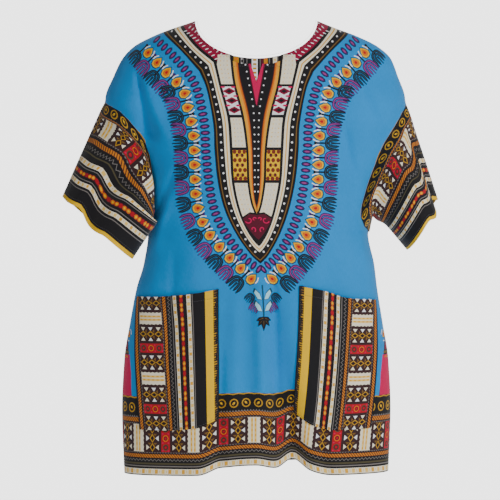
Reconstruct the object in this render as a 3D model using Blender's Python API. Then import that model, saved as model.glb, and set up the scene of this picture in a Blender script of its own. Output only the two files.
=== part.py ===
"""A printed dashiki shirt, filled out as it hangs when worn.

Metres, +Z up, the front faces -Y. The origin lies midway between the two neck points, where the
wearer's shoulders hold the shirt. Left and right are as seen from the front. Each piece that a
maker would cut is one closed wall of cloth with its own name.

A panel is drawn flat, in its own cut: `along` runs sideways over the cloth from the centre line and
`drop` runs down from the neck points. `place` carries the flat cut to where the worn cloth lies.
"""

import bpy
import numpy as np
from mathutils import Vector
from mathutils.geometry import delaunay_2d_cdt

# Driving dimensions
WALL = 0.0016  # printed cotton with its turned edges
GAP = 0.0003  # between pieces that meet at a seam
HEM_DROP = 0.770  # neck points to the hem, before it dips or lifts
NECK_HALF_WIDTH = 0.106
FRONT_NECK_DROP = 0.068
BACK_NECK_DROP = 0.060
UNDERARM_DROP = 0.366
SLEEVE_TOP_DROP = 0.136  # where the shoulder ridge ends and the sleeve is sewn on
SLIT_TOP_DROP = 0.728  # the side seams stay open below this
SLIT_SPREAD = 0.005  # each slit edge's distance from the middle plane at the hem
TORSO_ROUNDNESS = 2.4  # power of the torso's section, 2 is an ellipse
ARM_ROUNDNESS = 2.2
MERGE = 4.0  # how tightly the chest and the upper arms run into each other
FACING_DROP = 0.010  # the front's neck edge is cut this much lower over the facing
FACING_HALF_WIDTH = 0.041
FACING_LOW_DROP = 0.126
FACING_BEHIND = 0.0016  # between the front and the facing, whose flat facets differ a little
NOTCH_HALF_WIDTH = 0.010
NOTCH_DROP = 0.109
CELL = (0.0165, 0.040)  # distance between a panel's points, sideways and down
EDGE_SPACE = 0.42  # least distance between a panel's inner points and its edges, in cells
SEAM_STEPS = 14  # edges along half an armhole
SLEEVE_ROWS = 8
SEAM_SPACE = 1.6 * GAP  # between a sleeve and the body panels, measured over the cloth
SEAM_LIP = 0.005  # a sleeve first runs on in line with the body


def table(names, rows):
    """A short table as one array for each named column."""
    return dict(zip(names.split(), np.array(rows, float).T))


# The torso's sections: how far it reaches left and right, to the front and to the back.
TORSO = table(
    "drop left right front back",
    (
        (0.000, 0.106, 0.106, 0.008, 0.008),
        (0.004, 0.118, 0.116, 0.019, 0.020),
        (0.014, 0.148, 0.141, 0.034, 0.038),
        (0.024, 0.174, 0.169, 0.045, 0.051),
        (0.044, 0.212, 0.210, 0.062, 0.070),
        (0.065, 0.232, 0.233, 0.075, 0.083),
        (0.095, 0.247, 0.245, 0.088, 0.094),
        (0.136, 0.262, 0.258, 0.099, 0.101),
        (0.175, 0.232, 0.238, 0.107, 0.105),
        (0.220, 0.206, 0.216, 0.113, 0.107),
        (0.290, 0.192, 0.200, 0.118, 0.106),
        (0.366, 0.188, 0.194, 0.118, 0.102),
        (0.422, 0.196, 0.205, 0.114, 0.098),
        (0.462, 0.208, 0.210, 0.110, 0.096),
        (0.524, 0.220, 0.220, 0.104, 0.092),
        (0.585, 0.230, 0.230, 0.098, 0.088),
        (0.666, 0.234, 0.234, 0.092, 0.084),
        (0.770, 0.230, 0.230, 0.086, 0.080),
    ),
)

# The upper arms inside the front and back panels: outer edges, half width and depth.
ARMS = table(
    "drop left right half depth",
    (
        (0.050, 0.220, 0.219, 0.056, 0.000),
        (0.095, 0.247, 0.245, 0.057, 0.032),
        (0.136, 0.262, 0.258, 0.058, 0.050),
        (0.197, 0.288, 0.275, 0.060, 0.056),
        (0.238, 0.307, 0.290, 0.062, 0.058),
        (0.300, 0.336, 0.312, 0.066, 0.056),
        (0.345, 0.350, 0.325, 0.066, 0.000),
    ),
)

FOLD_COLUMNS = "top_x top_drop low_x low_drop top_half low_half top_depth low_depth"
# Folds run from a top to a low point. A positive depth is a ridge, a negative one is a trough.
FRONT_FOLDS = table(
    FOLD_COLUMNS,
    (
        (-0.202, 0.105, -0.183, 0.205, 0.020, 0.016, -0.002, -0.014),
        (-0.133, 0.235, -0.172, 0.350, 0.024, 0.030, 0.003, 0.005),
        (-0.170, 0.374, -0.186, 0.470, 0.014, 0.020, 0.006, 0.004),
        (-0.108, 0.350, -0.092, 0.790, 0.022, 0.040, 0.004, 0.014),
        (0.026, 0.440, 0.062, 0.800, 0.014, 0.030, -0.004, -0.036),
        (0.121, 0.360, 0.128, 0.500, 0.020, 0.024, -0.005, -0.006),
        (0.138, 0.150, 0.176, 0.440, 0.022, 0.026, -0.005, -0.011),
        (0.004, 0.520, 0.000, 0.800, 0.030, 0.042, 0.002, 0.008),
    ),
)
BACK_FOLDS = table(
    FOLD_COLUMNS,
    (
        (-0.200, 0.130, -0.176, 0.260, 0.022, 0.022, -0.002, -0.010),
        (0.198, 0.125, 0.178, 0.270, 0.022, 0.024, -0.002, -0.012),
        (-0.112, 0.260, -0.094, 0.790, 0.026, 0.038, 0.003, 0.015),
        (-0.030, 0.420, -0.012, 0.800, 0.020, 0.032, -0.004, -0.026),
        (0.052, 0.330, 0.070, 0.790, 0.026, 0.040, 0.003, 0.013),
        (0.132, 0.390, 0.138, 0.800, 0.018, 0.026, -0.004, -0.018),
    ),
)

# How far the hem lifts above its even level, across the front and the back.
FRONT_LIFT = table(
    "x lift",
    (
        (-0.240, -0.014),
        (-0.100, -0.009),
        (-0.060, 0.004),
        (0.000, 0.009),
        (0.034, 0.003),
        (0.062, 0.016),
        (0.092, -0.002),
        (0.125, -0.010),
        (0.240, -0.010),
    ),
)
BACK_LIFT = table(
    "x lift",
    (
        (-0.240, -0.014),
        (-0.140, -0.006),
        (-0.080, -0.010),
        (-0.015, 0.006),
        (0.060, -0.005),
        (0.138, 0.004),
        (0.240, -0.010),
    ),
)
LIFT_START = 0.500  # drop where the hem's lift begins to show
FOLD_FADE = 0.03  # folds fade out where the cloth stands out less than this

FACES = {
    "front": {"sign": -1.0, "depth": "front", "folds": FRONT_FOLDS, "lift": FRONT_LIFT},
    "back": {"sign": 1.0, "depth": "back", "folds": BACK_FOLDS, "lift": BACK_LIFT},
}

# The armhole seams, from the shoulder ridge to the underarm.
SEAMS = {
    ("left", "front"): (
        (-0.243, 0.152),
        (-0.224, 0.166),
        (-0.200, 0.194),
        (-0.185, 0.224),
        (-0.178, 0.290),
        (-0.181, 0.335),
    ),
    ("left", "back"): ((-0.246, 0.168), (-0.216, 0.215), (-0.181, 0.290), (-0.179, 0.340)),
    ("right", "front"): (
        (0.249, 0.161),
        (0.218, 0.212),
        (0.204, 0.246),
        (0.188, 0.291),
        (0.179, 0.328),
        (0.184, 0.354),
    ),
    ("right", "back"): ((0.244, 0.168), (0.214, 0.215), (0.187, 0.290), (0.185, 0.340)),
}

# Sleeve rings, from the armhole (0) to the cuff (1). Each passes through four points: one on the
# outer line of the arm, one at the front, one on the inner line and one at the back.
SLEEVE_COLUMNS = (
    "at outer_x outer_y outer_z front_x front_y front_z inner_x inner_y inner_z back_x back_y back_z"
)
SLEEVES = {
    "left": table(
        SLEEVE_COLUMNS,
        (
            (0.00, -0.262, 0.0, -0.136, -0.186, -0.054, -0.218, -0.188, 0.0, -0.366, -0.205, 0.055, -0.245),
            (0.30, -0.284, 0.0, -0.185, -0.184, -0.078, -0.266, -0.194, -0.018, -0.352, -0.238, 0.05, -0.285),
            (0.62, -0.308, -0.004, -0.239, -0.236, -0.09, -0.294, -0.169, -0.074, -0.346, -0.254, 0.04, -0.31),
            (1.00, -0.336, -0.01, -0.303, -0.274, -0.084, -0.357, -0.213, -0.04, -0.411, -0.276, 0.034, -0.36),
        ),
    ),
    "right": table(
        SLEEVE_COLUMNS,
        (
            (0.00, 0.258, 0.0, -0.136, 0.198, -0.05, -0.262, 0.194, 0.0, -0.366, 0.21, 0.055, -0.245),
            (0.25, 0.272, 0.0, -0.179, 0.237, -0.07, -0.252, 0.204, -0.004, -0.33, 0.24, 0.064, -0.262),
            (0.60, 0.292, -0.004, -0.239, 0.262, -0.084, -0.298, 0.23, -0.008, -0.359, 0.265, 0.07, -0.304),
            (1.00, 0.314, -0.01, -0.308, 0.288, -0.09, -0.352, 0.261, -0.01, -0.396, 0.29, 0.07, -0.356),
        ),
    ),
}
# One deep fold runs down each sleeve: where round the front half it lies, its half width, its
# depth, and how far its two lips slide along x and z.
SLEEVE_FOLDS = {
    "left": {"at": 0.40, "half": 0.085, "depth": 0.013, "slide_x": 0.000, "slide_z": 0.009},
    "right": {"at": 0.27, "half": 0.085, "depth": 0.010, "slide_x": -0.007, "slide_z": 0.008},
}
SLIDE_SCALE = 2.33  # gives a sleeve fold's slide its full amount beside the fold
SLEEVE_FREE = 0.55  # the part of its length over which a sleeve leaves the armhole's shape
BODY_CLEARANCE = 0.005
CLEAR_BELOW = 0.17  # drop below which a sleeve has the torso beside it

# Pocket corners on the front, as (x, drop): a top edge and a bottom edge.
POCKETS = {
    "left": {
        "top": ((-0.205, 0.476), (-0.154, 0.473), (-0.106, 0.467), (-0.064, 0.459)),
        "low": ((-0.200, 0.693), (-0.154, 0.694), (-0.106, 0.690), (-0.064, 0.683)),
    },
    "right": {
        "top": ((0.072, 0.454), (0.116, 0.463), (0.156, 0.476), (0.205, 0.481)),
        "low": ((0.064, 0.684), (0.110, 0.692), (0.156, 0.694), (0.196, 0.692)),
    },
}

BLUE = (0.02, 0.36, 0.78, 1.0)
BORDER = (0.10, 0.07, 0.06, 1.0)
GOLD = (0.80, 0.52, 0.10, 1.0)


def read(columns, name, at, key="drop"):
    """A smooth value from a table, with no overshoot between its rows."""
    x = columns[key]
    y = columns[name]
    step = np.diff(x)
    slope = np.diff(y) / step
    tangent = np.zeros_like(y)
    product = slope[:-1] * slope[1:]
    total = np.where(product > 0, slope[:-1] + slope[1:], 1.0)
    tangent[1:-1] = np.where(product > 0, 2 * product / total, 0.0)
    tangent[0] = slope[0]
    tangent[-1] = slope[-1]
    at = np.clip(np.asarray(at, float), x[0], x[-1])
    i = np.clip(np.searchsorted(x, at, side="right") - 1, 0, len(step) - 1)
    t = (at - x[i]) / step[i]
    low = (2 * t**3 - 3 * t**2 + 1) * y[i] + (t**3 - 2 * t**2 + t) * step[i] * tangent[i]
    high = (3 * t**2 - 2 * t**3) * y[i + 1] + (t**3 - t**2) * step[i] * tangent[i + 1]
    return low + high


def ease(t):
    """0 to 1 with level ends."""
    t = np.clip(t, 0.0, 1.0)
    return t * t * (3 - 2 * t)


def bulge(x, centre, half, depth, power):
    """The height of a rounded section above its middle plane."""
    reach = np.clip(np.abs(x - centre) / half, 0.0, 1.0)
    return depth * (1 - reach**power) ** (1 / power)


def torso_reach(x, drop):
    """How far the torso reaches on the side where x lies."""
    return np.where(x < 0, read(TORSO, "left", drop), read(TORSO, "right", drop))


def stand_out(x, drop, face):
    """How far the worn cloth stands out from the middle plane, folds included."""
    reach = torso_reach(x, drop)
    torso = bulge(x, 0.0, reach, read(TORSO, FACES[face]["depth"], drop), TORSO_ROUNDNESS)
    half = read(ARMS, "half", drop)
    outer = np.where(x < 0, -read(ARMS, "left", drop) + half, read(ARMS, "right", drop) - half)
    arm = bulge(x, outer, half, read(ARMS, "depth", drop), ARM_ROUNDNESS)
    height = (torso**MERGE + arm**MERGE) ** (1 / MERGE)
    folds = FACES[face]["folds"]
    edge = 1 - np.clip(np.abs(x) / np.maximum(reach, 1e-6), 0.0, 1.0) ** 6
    edge = np.where(drop < UNDERARM_DROP, 1.0, edge) * np.clip(height / FOLD_FADE, 0.0, 1.0)
    for i in range(len(folds["top_x"])):
        fold = {name: folds[name][i] for name in folds}
        t = (drop - fold["top_drop"]) / (fold["low_drop"] - fold["top_drop"])
        middle = fold["top_x"] + (fold["low_x"] - fold["top_x"]) * t
        width = fold["top_half"] + (fold["low_half"] - fold["top_half"]) * np.clip(t, 0.0, 1.0)
        depth = fold["top_depth"] + (fold["low_depth"] - fold["top_depth"]) * np.clip(t, 0.0, 1.0) ** 1.5
        ends = ease((t + 0.15) / 0.3) * ease((1.15 - t) / 0.3)
        height = height + edge * ends * depth * np.exp(-(((x - middle) / width) ** 2))
    return np.maximum(height, 0.0)


def edge_x(drop, side):
    """The outer edge of the panels at a drop: the shoulder, the arm or the side seam."""
    torso = read(TORSO, side, drop)
    arm = read(ARMS, side, drop)
    return np.where((drop > SLEEVE_TOP_DROP) & (drop < UNDERARM_DROP), np.maximum(torso, arm), torso)


def section(drop, face):
    """Points across the cloth at each drop, and the distance over the cloth to each of them."""
    drop = np.atleast_1d(np.asarray(drop, float))
    turn = np.linspace(-1.0, 1.0, 161)[None, :]
    reach = np.where(turn < 0, edge_x(drop, "left")[:, None], edge_x(drop, "right")[:, None])
    x = reach * np.sin(turn * np.pi / 2)
    height = stand_out(x, np.broadcast_to(drop[:, None], x.shape), face)
    step = np.hypot(np.diff(x, axis=1), np.diff(height, axis=1))
    along = np.concatenate([np.zeros((len(drop), 1)), np.cumsum(step, axis=1)], axis=1)
    return x, along - along[:, 80:81]


def along_of(x, drop, face):
    """The distance over the cloth from the centre line to x."""
    xs, along = section(drop, face)
    x = np.atleast_1d(x)
    i = np.clip((xs <= x[:, None]).sum(axis=1) - 1, 0, xs.shape[1] - 2)
    rows = np.arange(len(x))
    t = np.clip((x - xs[rows, i]) / (xs[rows, i + 1] - xs[rows, i]), 0.0, 1.0)
    return along[rows, i] + t * (along[rows, i + 1] - along[rows, i])


def place(along, drop, face, out=0.0):
    """Where the flat cut's points lie in the worn shirt, moved out along the cloth's normal."""
    along = np.atleast_1d(np.asarray(along, float))
    drop = np.atleast_1d(np.asarray(drop, float))
    base = rest_point(along, drop, face)
    if np.all(np.asarray(out) == 0.0):
        return base
    return base + np.asarray(out)[..., None] * normal(along, drop, face)


def rest_point(along, drop, face):
    """A point of the flat cut on the worn cloth's outer side."""
    xs, arc = section(drop, face)
    i = np.clip((arc <= along[:, None]).sum(axis=1) - 1, 0, xs.shape[1] - 2)
    rows = np.arange(len(along))
    t = np.clip((along - arc[rows, i]) / (arc[rows, i + 1] - arc[rows, i]), 0.0, 1.0)
    x = xs[rows, i] + t * (xs[rows, i + 1] - xs[rows, i])
    sign = FACES[face]["sign"]
    y = sign * stand_out(x, drop, face)
    slit = ease((drop - SLIT_TOP_DROP) / (HEM_DROP - SLIT_TOP_DROP))
    near_edge = np.clip(np.abs(x) / np.maximum(torso_reach(x, drop), 1e-6), 0.0, 1.0) ** 12
    y = y + sign * (GAP / 2 + SLIT_SPREAD * slit * near_edge)
    low = ease((drop - LIFT_START) / (HEM_DROP - LIFT_START))
    lift = low * read(FACES[face]["lift"], "lift", x, key="x")
    return np.stack([x, y, lift - drop], axis=1)


def normal(along, drop, face):
    """The cloth's outward normal."""
    d = 0.0015
    # Differences are taken towards the centre line, so that they stay on the cloth at its edges.
    inward = np.where(along > 0, -d, d)
    across = rest_point(along + inward, drop, face) - rest_point(along, drop, face)
    across = across * np.sign(inward)[:, None]
    down = rest_point(along, drop + d, face) - rest_point(along, np.maximum(drop - d, 0.0), face)
    n = np.cross(down, across)
    n = n / np.linalg.norm(n, axis=1, keepdims=True)
    return n * np.where(n[:, 1] * FACES[face]["sign"] < 0, -1.0, 1.0)[:, None]


def smooth_path(points, count):
    """Evenly spaced points on a smooth curve through a few."""
    p = np.array(points, float)
    p = np.vstack([2 * p[0] - p[1], p, 2 * p[-1] - p[-2]])
    t = np.linspace(0, 1, 16, endpoint=False)[:, None]
    runs = []
    for a, b, c, d in zip(p[:-3], p[1:-2], p[2:-1], p[3:]):
        square = (2 * a - 5 * b + 4 * c - d) * t**2
        cube = (3 * b - a - 3 * c + d) * t**3
        runs.append(0.5 * (2 * b + (c - a) * t + square + cube))
    curve = np.vstack(runs + [p[-2:-1]])
    length = np.concatenate([[0.0], np.cumsum(np.linalg.norm(np.diff(curve, axis=0), axis=1))])
    at = np.linspace(0, length[-1], count)
    return np.stack([np.interp(at, length, curve[:, k]) for k in range(p.shape[1])], axis=1)


def flat(points, face):
    """Points given as x and drop, in the flat cut."""
    points = np.array(points, float)
    return np.stack([along_of(points[:, 0], points[:, 1], face), points[:, 1]], axis=1)


def seam(side, face):
    """An armhole seam in the flat cut, from the shoulder ridge to the underarm."""
    sign = -1.0 if side == "left" else 1.0
    top = (sign * edge_x(SLEEVE_TOP_DROP, side), SLEEVE_TOP_DROP)
    low = (sign * read(TORSO, side, UNDERARM_DROP), UNDERARM_DROP)
    cut = flat((top, *SEAMS[(side, face)], low), face)
    cut[0, 0] = section(cut[0, 1], face)[1][0, 0 if side == "left" else -1]
    return smooth_path(cut, SEAM_STEPS + 1)


def rim(drops, side, face):
    """The panel's outermost points at these drops, where front and back meet."""
    arc = section(drops, face)[1]
    return np.stack([arc[:, 0 if side == "left" else -1], drops], axis=1)


def neck_edge(face):
    """The neck opening from the right neck point to the left one."""
    deep = FRONT_NECK_DROP if face == "front" else BACK_NECK_DROP
    turn = np.linspace(0.0, np.pi, 25)
    points = [(NECK_HALF_WIDTH * np.cos(a), deep * np.sin(a)) for a in turn]
    if face == "back":
        return flat(points, face)
    half = FACING_HALF_WIDTH
    right = [p for p in points if p[0] > half + 0.004]
    left = [p for p in points if p[0] < -half - 0.004]
    low = FRONT_NECK_DROP + FACING_DROP
    step = neck_drop(half)
    middle = [
        (half, step),
        (half, step + FACING_DROP),
        (0.026, low),
        (NOTCH_HALF_WIDTH, low),
        (0.0, NOTCH_DROP),
        (-NOTCH_HALF_WIDTH, low),
        (-0.026, low),
        (-half, step + FACING_DROP),
        (-half, step),
    ]
    return flat(right + middle + left, face)


def neck_drop(x):
    """The front neck edge's drop at a distance from the centre line."""
    return FRONT_NECK_DROP * np.sqrt(1 - (x / NECK_HALF_WIDTH) ** 2)


def inside(points, outline):
    """Which points lie inside a closed outline."""
    x, y = points[:, 0:1], points[:, 1:2]
    a, b = outline, np.roll(outline, -1, axis=0)
    crosses = (a[:, 1] > y) != (b[:, 1] > y)
    fall = np.where(b[:, 1] == a[:, 1], 1.0, b[:, 1] - a[:, 1])
    at = a[:, 0] + (y - a[:, 1]) * (b[:, 0] - a[:, 0]) / fall
    return (crosses & (x < at)).sum(axis=1) % 2 == 1


def edge_distance(points, outline):
    """The distance from each point to a closed outline."""
    a, b = outline, np.roll(outline, -1, axis=0)
    run = b - a
    t = ((points[:, None] - a) * run).sum(axis=2) / (run * run).sum(axis=1)
    nearest = a + np.clip(t, 0.0, 1.0)[..., None] * run
    return np.linalg.norm(points[:, None] - nearest, axis=2).min(axis=1)


def fill(outline, rows, patches=()):
    """Triangles over a flat outline, with a lattice of points and the edges of any patches inside it."""
    scale = np.array(CELL)
    edge = outline / scale
    loops = [edge, *(patch / scale for patch in patches)]
    left = edge[:, 0].min()
    columns = np.arange(int(edge[:, 0].max() - left) + 2)
    lattice = [(left + i + 0.5 * (j % 2), row / scale[1]) for j, row in enumerate(rows) for i in columns]
    lattice = np.array(lattice)
    lattice = lattice[inside(lattice, edge)]
    for loop in loops:
        lattice = lattice[edge_distance(lattice, loop) > EDGE_SPACE]
    points = np.vstack([*loops, lattice])
    sides = []
    first = 0
    for loop in loops:
        sides += [(first + i, first + (i + 1) % len(loop)) for i in range(len(loop))]
        first += len(loop)
    whole = [list(range(len(edge)))]
    found, _, faces, _, _, _ = delaunay_2d_cdt([Vector(p) for p in points], sides, whole, 1, 1e-7)
    return np.array([tuple(v) for v in found]) * scale, [tuple(f) for f in faces]


def wall(name, outer, inner, faces, colour):
    """A closed sheet from matching outer and inner points and the faces over them."""
    count = len(outer)
    flipped = [tuple(i + count for i in reversed(face)) for face in faces]
    used = {edge for face in faces for edge in zip(face, face[1:] + face[:1])}
    rims = []
    for a, b in sorted(used):
        if (b, a) in used:
            continue
        # Two walls that meet at a seam split their rims the same way: from the upper outer point.
        if outer[a][2] >= outer[b][2]:
            rims += [(b, a, b + count), (a, a + count, b + count)]
        else:
            rims += [(b, a, a + count), (b, a + count, b + count)]
    mesh = bpy.data.meshes.new(name)
    mesh.from_pydata([tuple(p) for p in np.vstack([outer, inner])], [], list(faces) + flipped + rims)
    mesh.validate()
    mesh.shade_smooth()
    mesh.set_sharp_from_angle(angle=np.radians(40))
    material = bpy.data.materials.new(name)
    material.use_nodes = True
    shader = material.node_tree.nodes["Principled BSDF"]
    shader.inputs["Base Color"].default_value = colour
    shader.inputs["Roughness"].default_value = 0.85
    shader.inputs["Metallic"].default_value = 0.0
    mesh.materials.append(material)
    piece = bpy.data.objects.new(name, mesh)
    bpy.context.collection.objects.link(piece)
    return piece


def facing_out(points, faces, face):
    """The faces turned, all together, so that they look away from the middle plane."""
    a, b, c = (points[[f[k] for f in faces]] for k in range(3))
    looks = np.cross(b - a, c - a)[:, 1].sum() * FACES[face]["sign"]
    return [tuple(f) if looks > 0 else tuple(reversed(f)) for f in faces]


def sheet(name, cut, faces, face, colour, out=0.0):
    """A closed sheet over a flat mesh, its outer side moved out from the face by `out`."""
    along, drop = cut[:, 0], cut[:, 1]
    outer = place(along, drop, face, np.full(len(cut), out))
    inner = place(along, drop, face, np.full(len(cut), out - WALL))
    if out == 0.0:
        sign = FACES[face]["sign"]
        inner[:, 1] = sign * np.maximum(sign * inner[:, 1], GAP / 2)
    return wall(name, outer, inner, facing_out(outer, faces, face), colour)


def patch(name, cut, faces, outline, colour):
    """A patch made from the front's own points inside an outline, moved out to lie on it."""
    middle = np.array([cut[list(f)].mean(axis=0) for f in faces])
    kept = [f for f, within in zip(faces, inside(middle, outline)) if within]
    used = sorted({i for f in kept for i in f})
    order = {i: n for n, i in enumerate(used)}
    faces = [tuple(order[i] for i in f) for f in kept]
    return sheet(name, cut[used], faces, "front", colour, out=WALL + GAP)


def panel_rows():
    """Drops of a panel's inner points, closer together over the shoulders."""
    rows = [0.010]
    while rows[-1] < HEM_DROP - 0.012:
        rows.append(rows[-1] + min(CELL[1], 0.010 + 0.16 * rows[-1]))
    return rows


def body_outline(face):
    """A body panel's cut: neck, shoulder ridge, armhole, side seam and hem."""
    ridge = SLEEVE_TOP_DROP * np.linspace(0.0, 1.0, 13)[1:-1] ** 1.6
    sides = np.linspace(UNDERARM_DROP, HEM_DROP, 13)
    hem = np.linspace(1.0, -1.0, 33)[1:-1]
    arc = section(HEM_DROP, face)[1][0]
    hem_along = np.where(hem > 0, hem * arc[-1], -hem * arc[0])
    hem_points = np.stack([hem_along, np.full(len(hem), HEM_DROP)], axis=1)
    down = [rim(ridge, "right", face), seam("right", face)[:-1], rim(sides, "right", face)]
    up = [rim(sides[::-1], "left", face), seam("left", face)[::-1][1:], rim(ridge[::-1], "left", face)]
    neck = neck_edge(face)[::-1]
    return np.vstack([*down, hem_points, *up, neck])


def sleeve_ring(side, at):
    """One ring of a sleeve, free of the armhole, starting at the top of the arm."""
    rings = SLEEVES[side]
    outer, front, inner, back = (
        np.array([np.interp(at, rings["at"], rings[f"{name}_{axis}"]) for axis in "xyz"])
        for name in ("outer", "front", "inner", "back")
    )
    centre = (outer + inner) / 2
    turn = np.arange(2 * SEAM_STEPS) * np.pi / SEAM_STEPS
    half = np.where((turn <= np.pi)[:, None], front - centre, centre - back)
    ring = centre + (outer - centre) * np.cos(turn)[:, None] + half * np.sin(turn)[:, None]
    fold = SLEEVE_FOLDS[side]
    off = (turn / np.pi - fold["at"]) / fold["half"]
    grow = ease(at / 0.5)
    ring[:, 1] += grow * fold["depth"] * np.exp(-(off**2))
    slide = SLIDE_SCALE * off * np.exp(-(off**2))
    ring[:, 0] -= grow * fold["slide_x"] * slide
    ring[:, 2] -= grow * fold["slide_z"] * slide
    return ring


def clear_of_body(points):
    """Points moved out from the middle of the torso until they clear it."""
    drop = -points[:, 2]
    wide = torso_reach(points[:, 0], drop) + BODY_CLEARANCE
    deep = np.where(points[:, 1] < 0, read(TORSO, "front", drop), read(TORSO, "back", drop))
    deep = deep + BODY_CLEARANCE
    level = np.abs(points[:, 0] / wide) ** TORSO_ROUNDNESS
    level = level + np.abs(points[:, 1] / deep) ** TORSO_ROUNDNESS
    grow = np.where((level < 1) & (drop > CLEAR_BELOW), level ** (-1 / TORSO_ROUNDNESS), 1.0)
    grow = np.clip(grow, 1.0, 1.5)
    return points * np.stack([grow, grow, np.ones_like(grow)], axis=1)


def sleeve(side):
    """A sleeve: a tube from the armhole to the cuff."""
    front, back = seam(side, "front"), seam(side, "back")
    ring = np.vstack([place(*front.T, "front"), place(*back[::-1][1:-1].T, "back")])
    away = np.vstack([normal(*front.T, "front"), normal(*back[::-1][1:-1].T, "back")])
    run = np.roll(ring, -1, axis=0) - np.roll(ring, 1, axis=0)
    off = np.cross(run, away)
    off = off / np.linalg.norm(off, axis=1, keepdims=True)
    sign = -1.0 if side == "left" else 1.0
    if off[:, 0].sum() * sign < 0:
        off = -off
    ring = ring + SEAM_SPACE * off
    rows = [ring, ring + SEAM_LIP * off]
    for i in range(1, SLEEVE_ROWS + 1):
        at = i / SLEEVE_ROWS
        free = ease(at / SLEEVE_FREE)
        shape = ring + (sleeve_ring(side, at) - sleeve_ring(side, 0.0)) * (1 - free)
        mixed = shape * (1 - free) + sleeve_ring(side, at) * free
        rows.append(clear_of_body(mixed))
    outer = np.array(rows)
    across = np.roll(outer, -1, axis=1) - np.roll(outer, 1, axis=1)
    length = np.gradient(outer, axis=0)
    turn = np.cross(across, length)
    turn /= np.linalg.norm(turn, axis=2, keepdims=True)
    middle = outer.mean(axis=1, keepdims=True)
    if ((outer - middle) * turn).sum() < 0:
        turn = -turn
    turn[0] = away
    inner = outer - WALL * turn
    columns = 2 * SEAM_STEPS
    faces = []
    for i in range(SLEEVE_ROWS + 1):
        for j in range(columns):
            a, b = i * columns + j, i * columns + (j + 1) % columns
            faces.append((a, b, b + columns) if (i + j) % 2 else (a, b, a + columns))
            faces.append((a, b + columns, a + columns) if (i + j) % 2 else (b, b + columns, a + columns))
    flat_outer = outer.reshape(-1, 3)
    first = faces[0]
    a, b, c = (flat_outer[k] for k in first)
    if np.dot(np.cross(b - a, c - a), turn.reshape(-1, 3)[first[0]]) < 0:
        faces = [tuple(reversed(f)) for f in faces]
    return wall(f"sleeve_{side}", flat_outer, inner.reshape(-1, 3), faces, BORDER)


def pocket_outline(side):
    """A patch pocket's edge in the front's flat cut."""
    top_edge = smooth_path(flat(POCKETS[side]["top"], "front"), 9)
    low_edge = smooth_path(flat(POCKETS[side]["low"], "front"), 9)
    right_edge = np.linspace(top_edge[-1], low_edge[-1], 7)[1:-1]
    left_edge = np.linspace(low_edge[0], top_edge[0], 7)[1:-1]
    return np.vstack([top_edge, right_edge, low_edge[::-1], left_edge])


def front_and_pockets():
    """The front panel, and the two patch pockets that lie on it."""
    outlines = {side: pocket_outline(side) for side in ("left", "right")}
    cut, faces = fill(body_outline("front"), panel_rows(), outlines.values())
    sheet("front_panel", cut, faces, "front", BLUE)
    for side, outline in outlines.items():
        patch(f"pocket_{side}", cut, faces, outline, GOLD)


def back():
    """The back panel."""
    cut, faces = fill(body_outline("back"), panel_rows())
    sheet("back_panel", cut, faces, "back", BLUE)


def facing():
    """The strip of border print behind the neck slit, which shows in the notch and along the neck."""
    x = np.linspace(FACING_HALF_WIDTH - GAP, -FACING_HALF_WIDTH + GAP, 9)
    top = flat([(a, neck_drop(a)) for a in x], "front")
    low = flat([(a, FACING_LOW_DROP) for a in x[::-1]], "front")
    cut, faces = fill(np.vstack([top, low]), (0.078, 0.089, 0.100, 0.111))
    sheet("neck_facing", cut, faces, "front", BORDER, out=-WALL - FACING_BEHIND)


def main():
    for old in list(bpy.data.objects):
        bpy.data.objects.remove(old)
    front_and_pockets()
    back()
    sleeve("left")
    sleeve("right")
    facing()


main()
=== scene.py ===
"""A printed dashiki shirt: its cloth, print, stitches and stage.

Metres, +Z up, the front faces -Y. Left and right are as seen from the front. The print is drawn in
millimetres on each piece's flat cut and then laid on the worn cloth.
"""

import bpy
import numpy as np
from bpy.props import FloatProperty, FloatVectorProperty, PointerProperty
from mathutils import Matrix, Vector
from mathutils.geometry import delaunay_2d_cdt


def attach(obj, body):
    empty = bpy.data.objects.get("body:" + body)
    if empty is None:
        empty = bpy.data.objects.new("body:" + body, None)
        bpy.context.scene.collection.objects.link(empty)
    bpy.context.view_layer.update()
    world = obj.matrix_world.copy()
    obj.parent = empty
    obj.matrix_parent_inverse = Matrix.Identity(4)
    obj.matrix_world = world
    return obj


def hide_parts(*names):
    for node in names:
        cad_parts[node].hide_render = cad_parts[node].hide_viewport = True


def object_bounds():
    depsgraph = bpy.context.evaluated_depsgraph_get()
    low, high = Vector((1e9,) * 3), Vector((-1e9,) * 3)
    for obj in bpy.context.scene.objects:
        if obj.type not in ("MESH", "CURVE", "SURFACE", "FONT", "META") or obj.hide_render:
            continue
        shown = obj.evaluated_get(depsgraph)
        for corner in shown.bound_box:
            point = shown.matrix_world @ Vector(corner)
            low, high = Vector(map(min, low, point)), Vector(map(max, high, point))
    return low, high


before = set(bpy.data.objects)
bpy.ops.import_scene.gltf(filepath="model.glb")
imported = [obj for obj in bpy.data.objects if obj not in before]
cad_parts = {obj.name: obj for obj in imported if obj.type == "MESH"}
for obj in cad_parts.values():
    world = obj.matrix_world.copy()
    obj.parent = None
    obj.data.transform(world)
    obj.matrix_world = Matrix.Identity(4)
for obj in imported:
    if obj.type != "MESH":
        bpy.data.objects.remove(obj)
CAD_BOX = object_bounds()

bl_info = {
    "name": "Dashiki Shirt",
    "version": (1, 0, 0),
    "blender": (4, 5, 0),
    "location": "View3D > Sidebar > Dashiki",
    "description": "Builds a printed dashiki shirt around its packed frame",
    "category": "Object",
}

MM = 0.001

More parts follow.
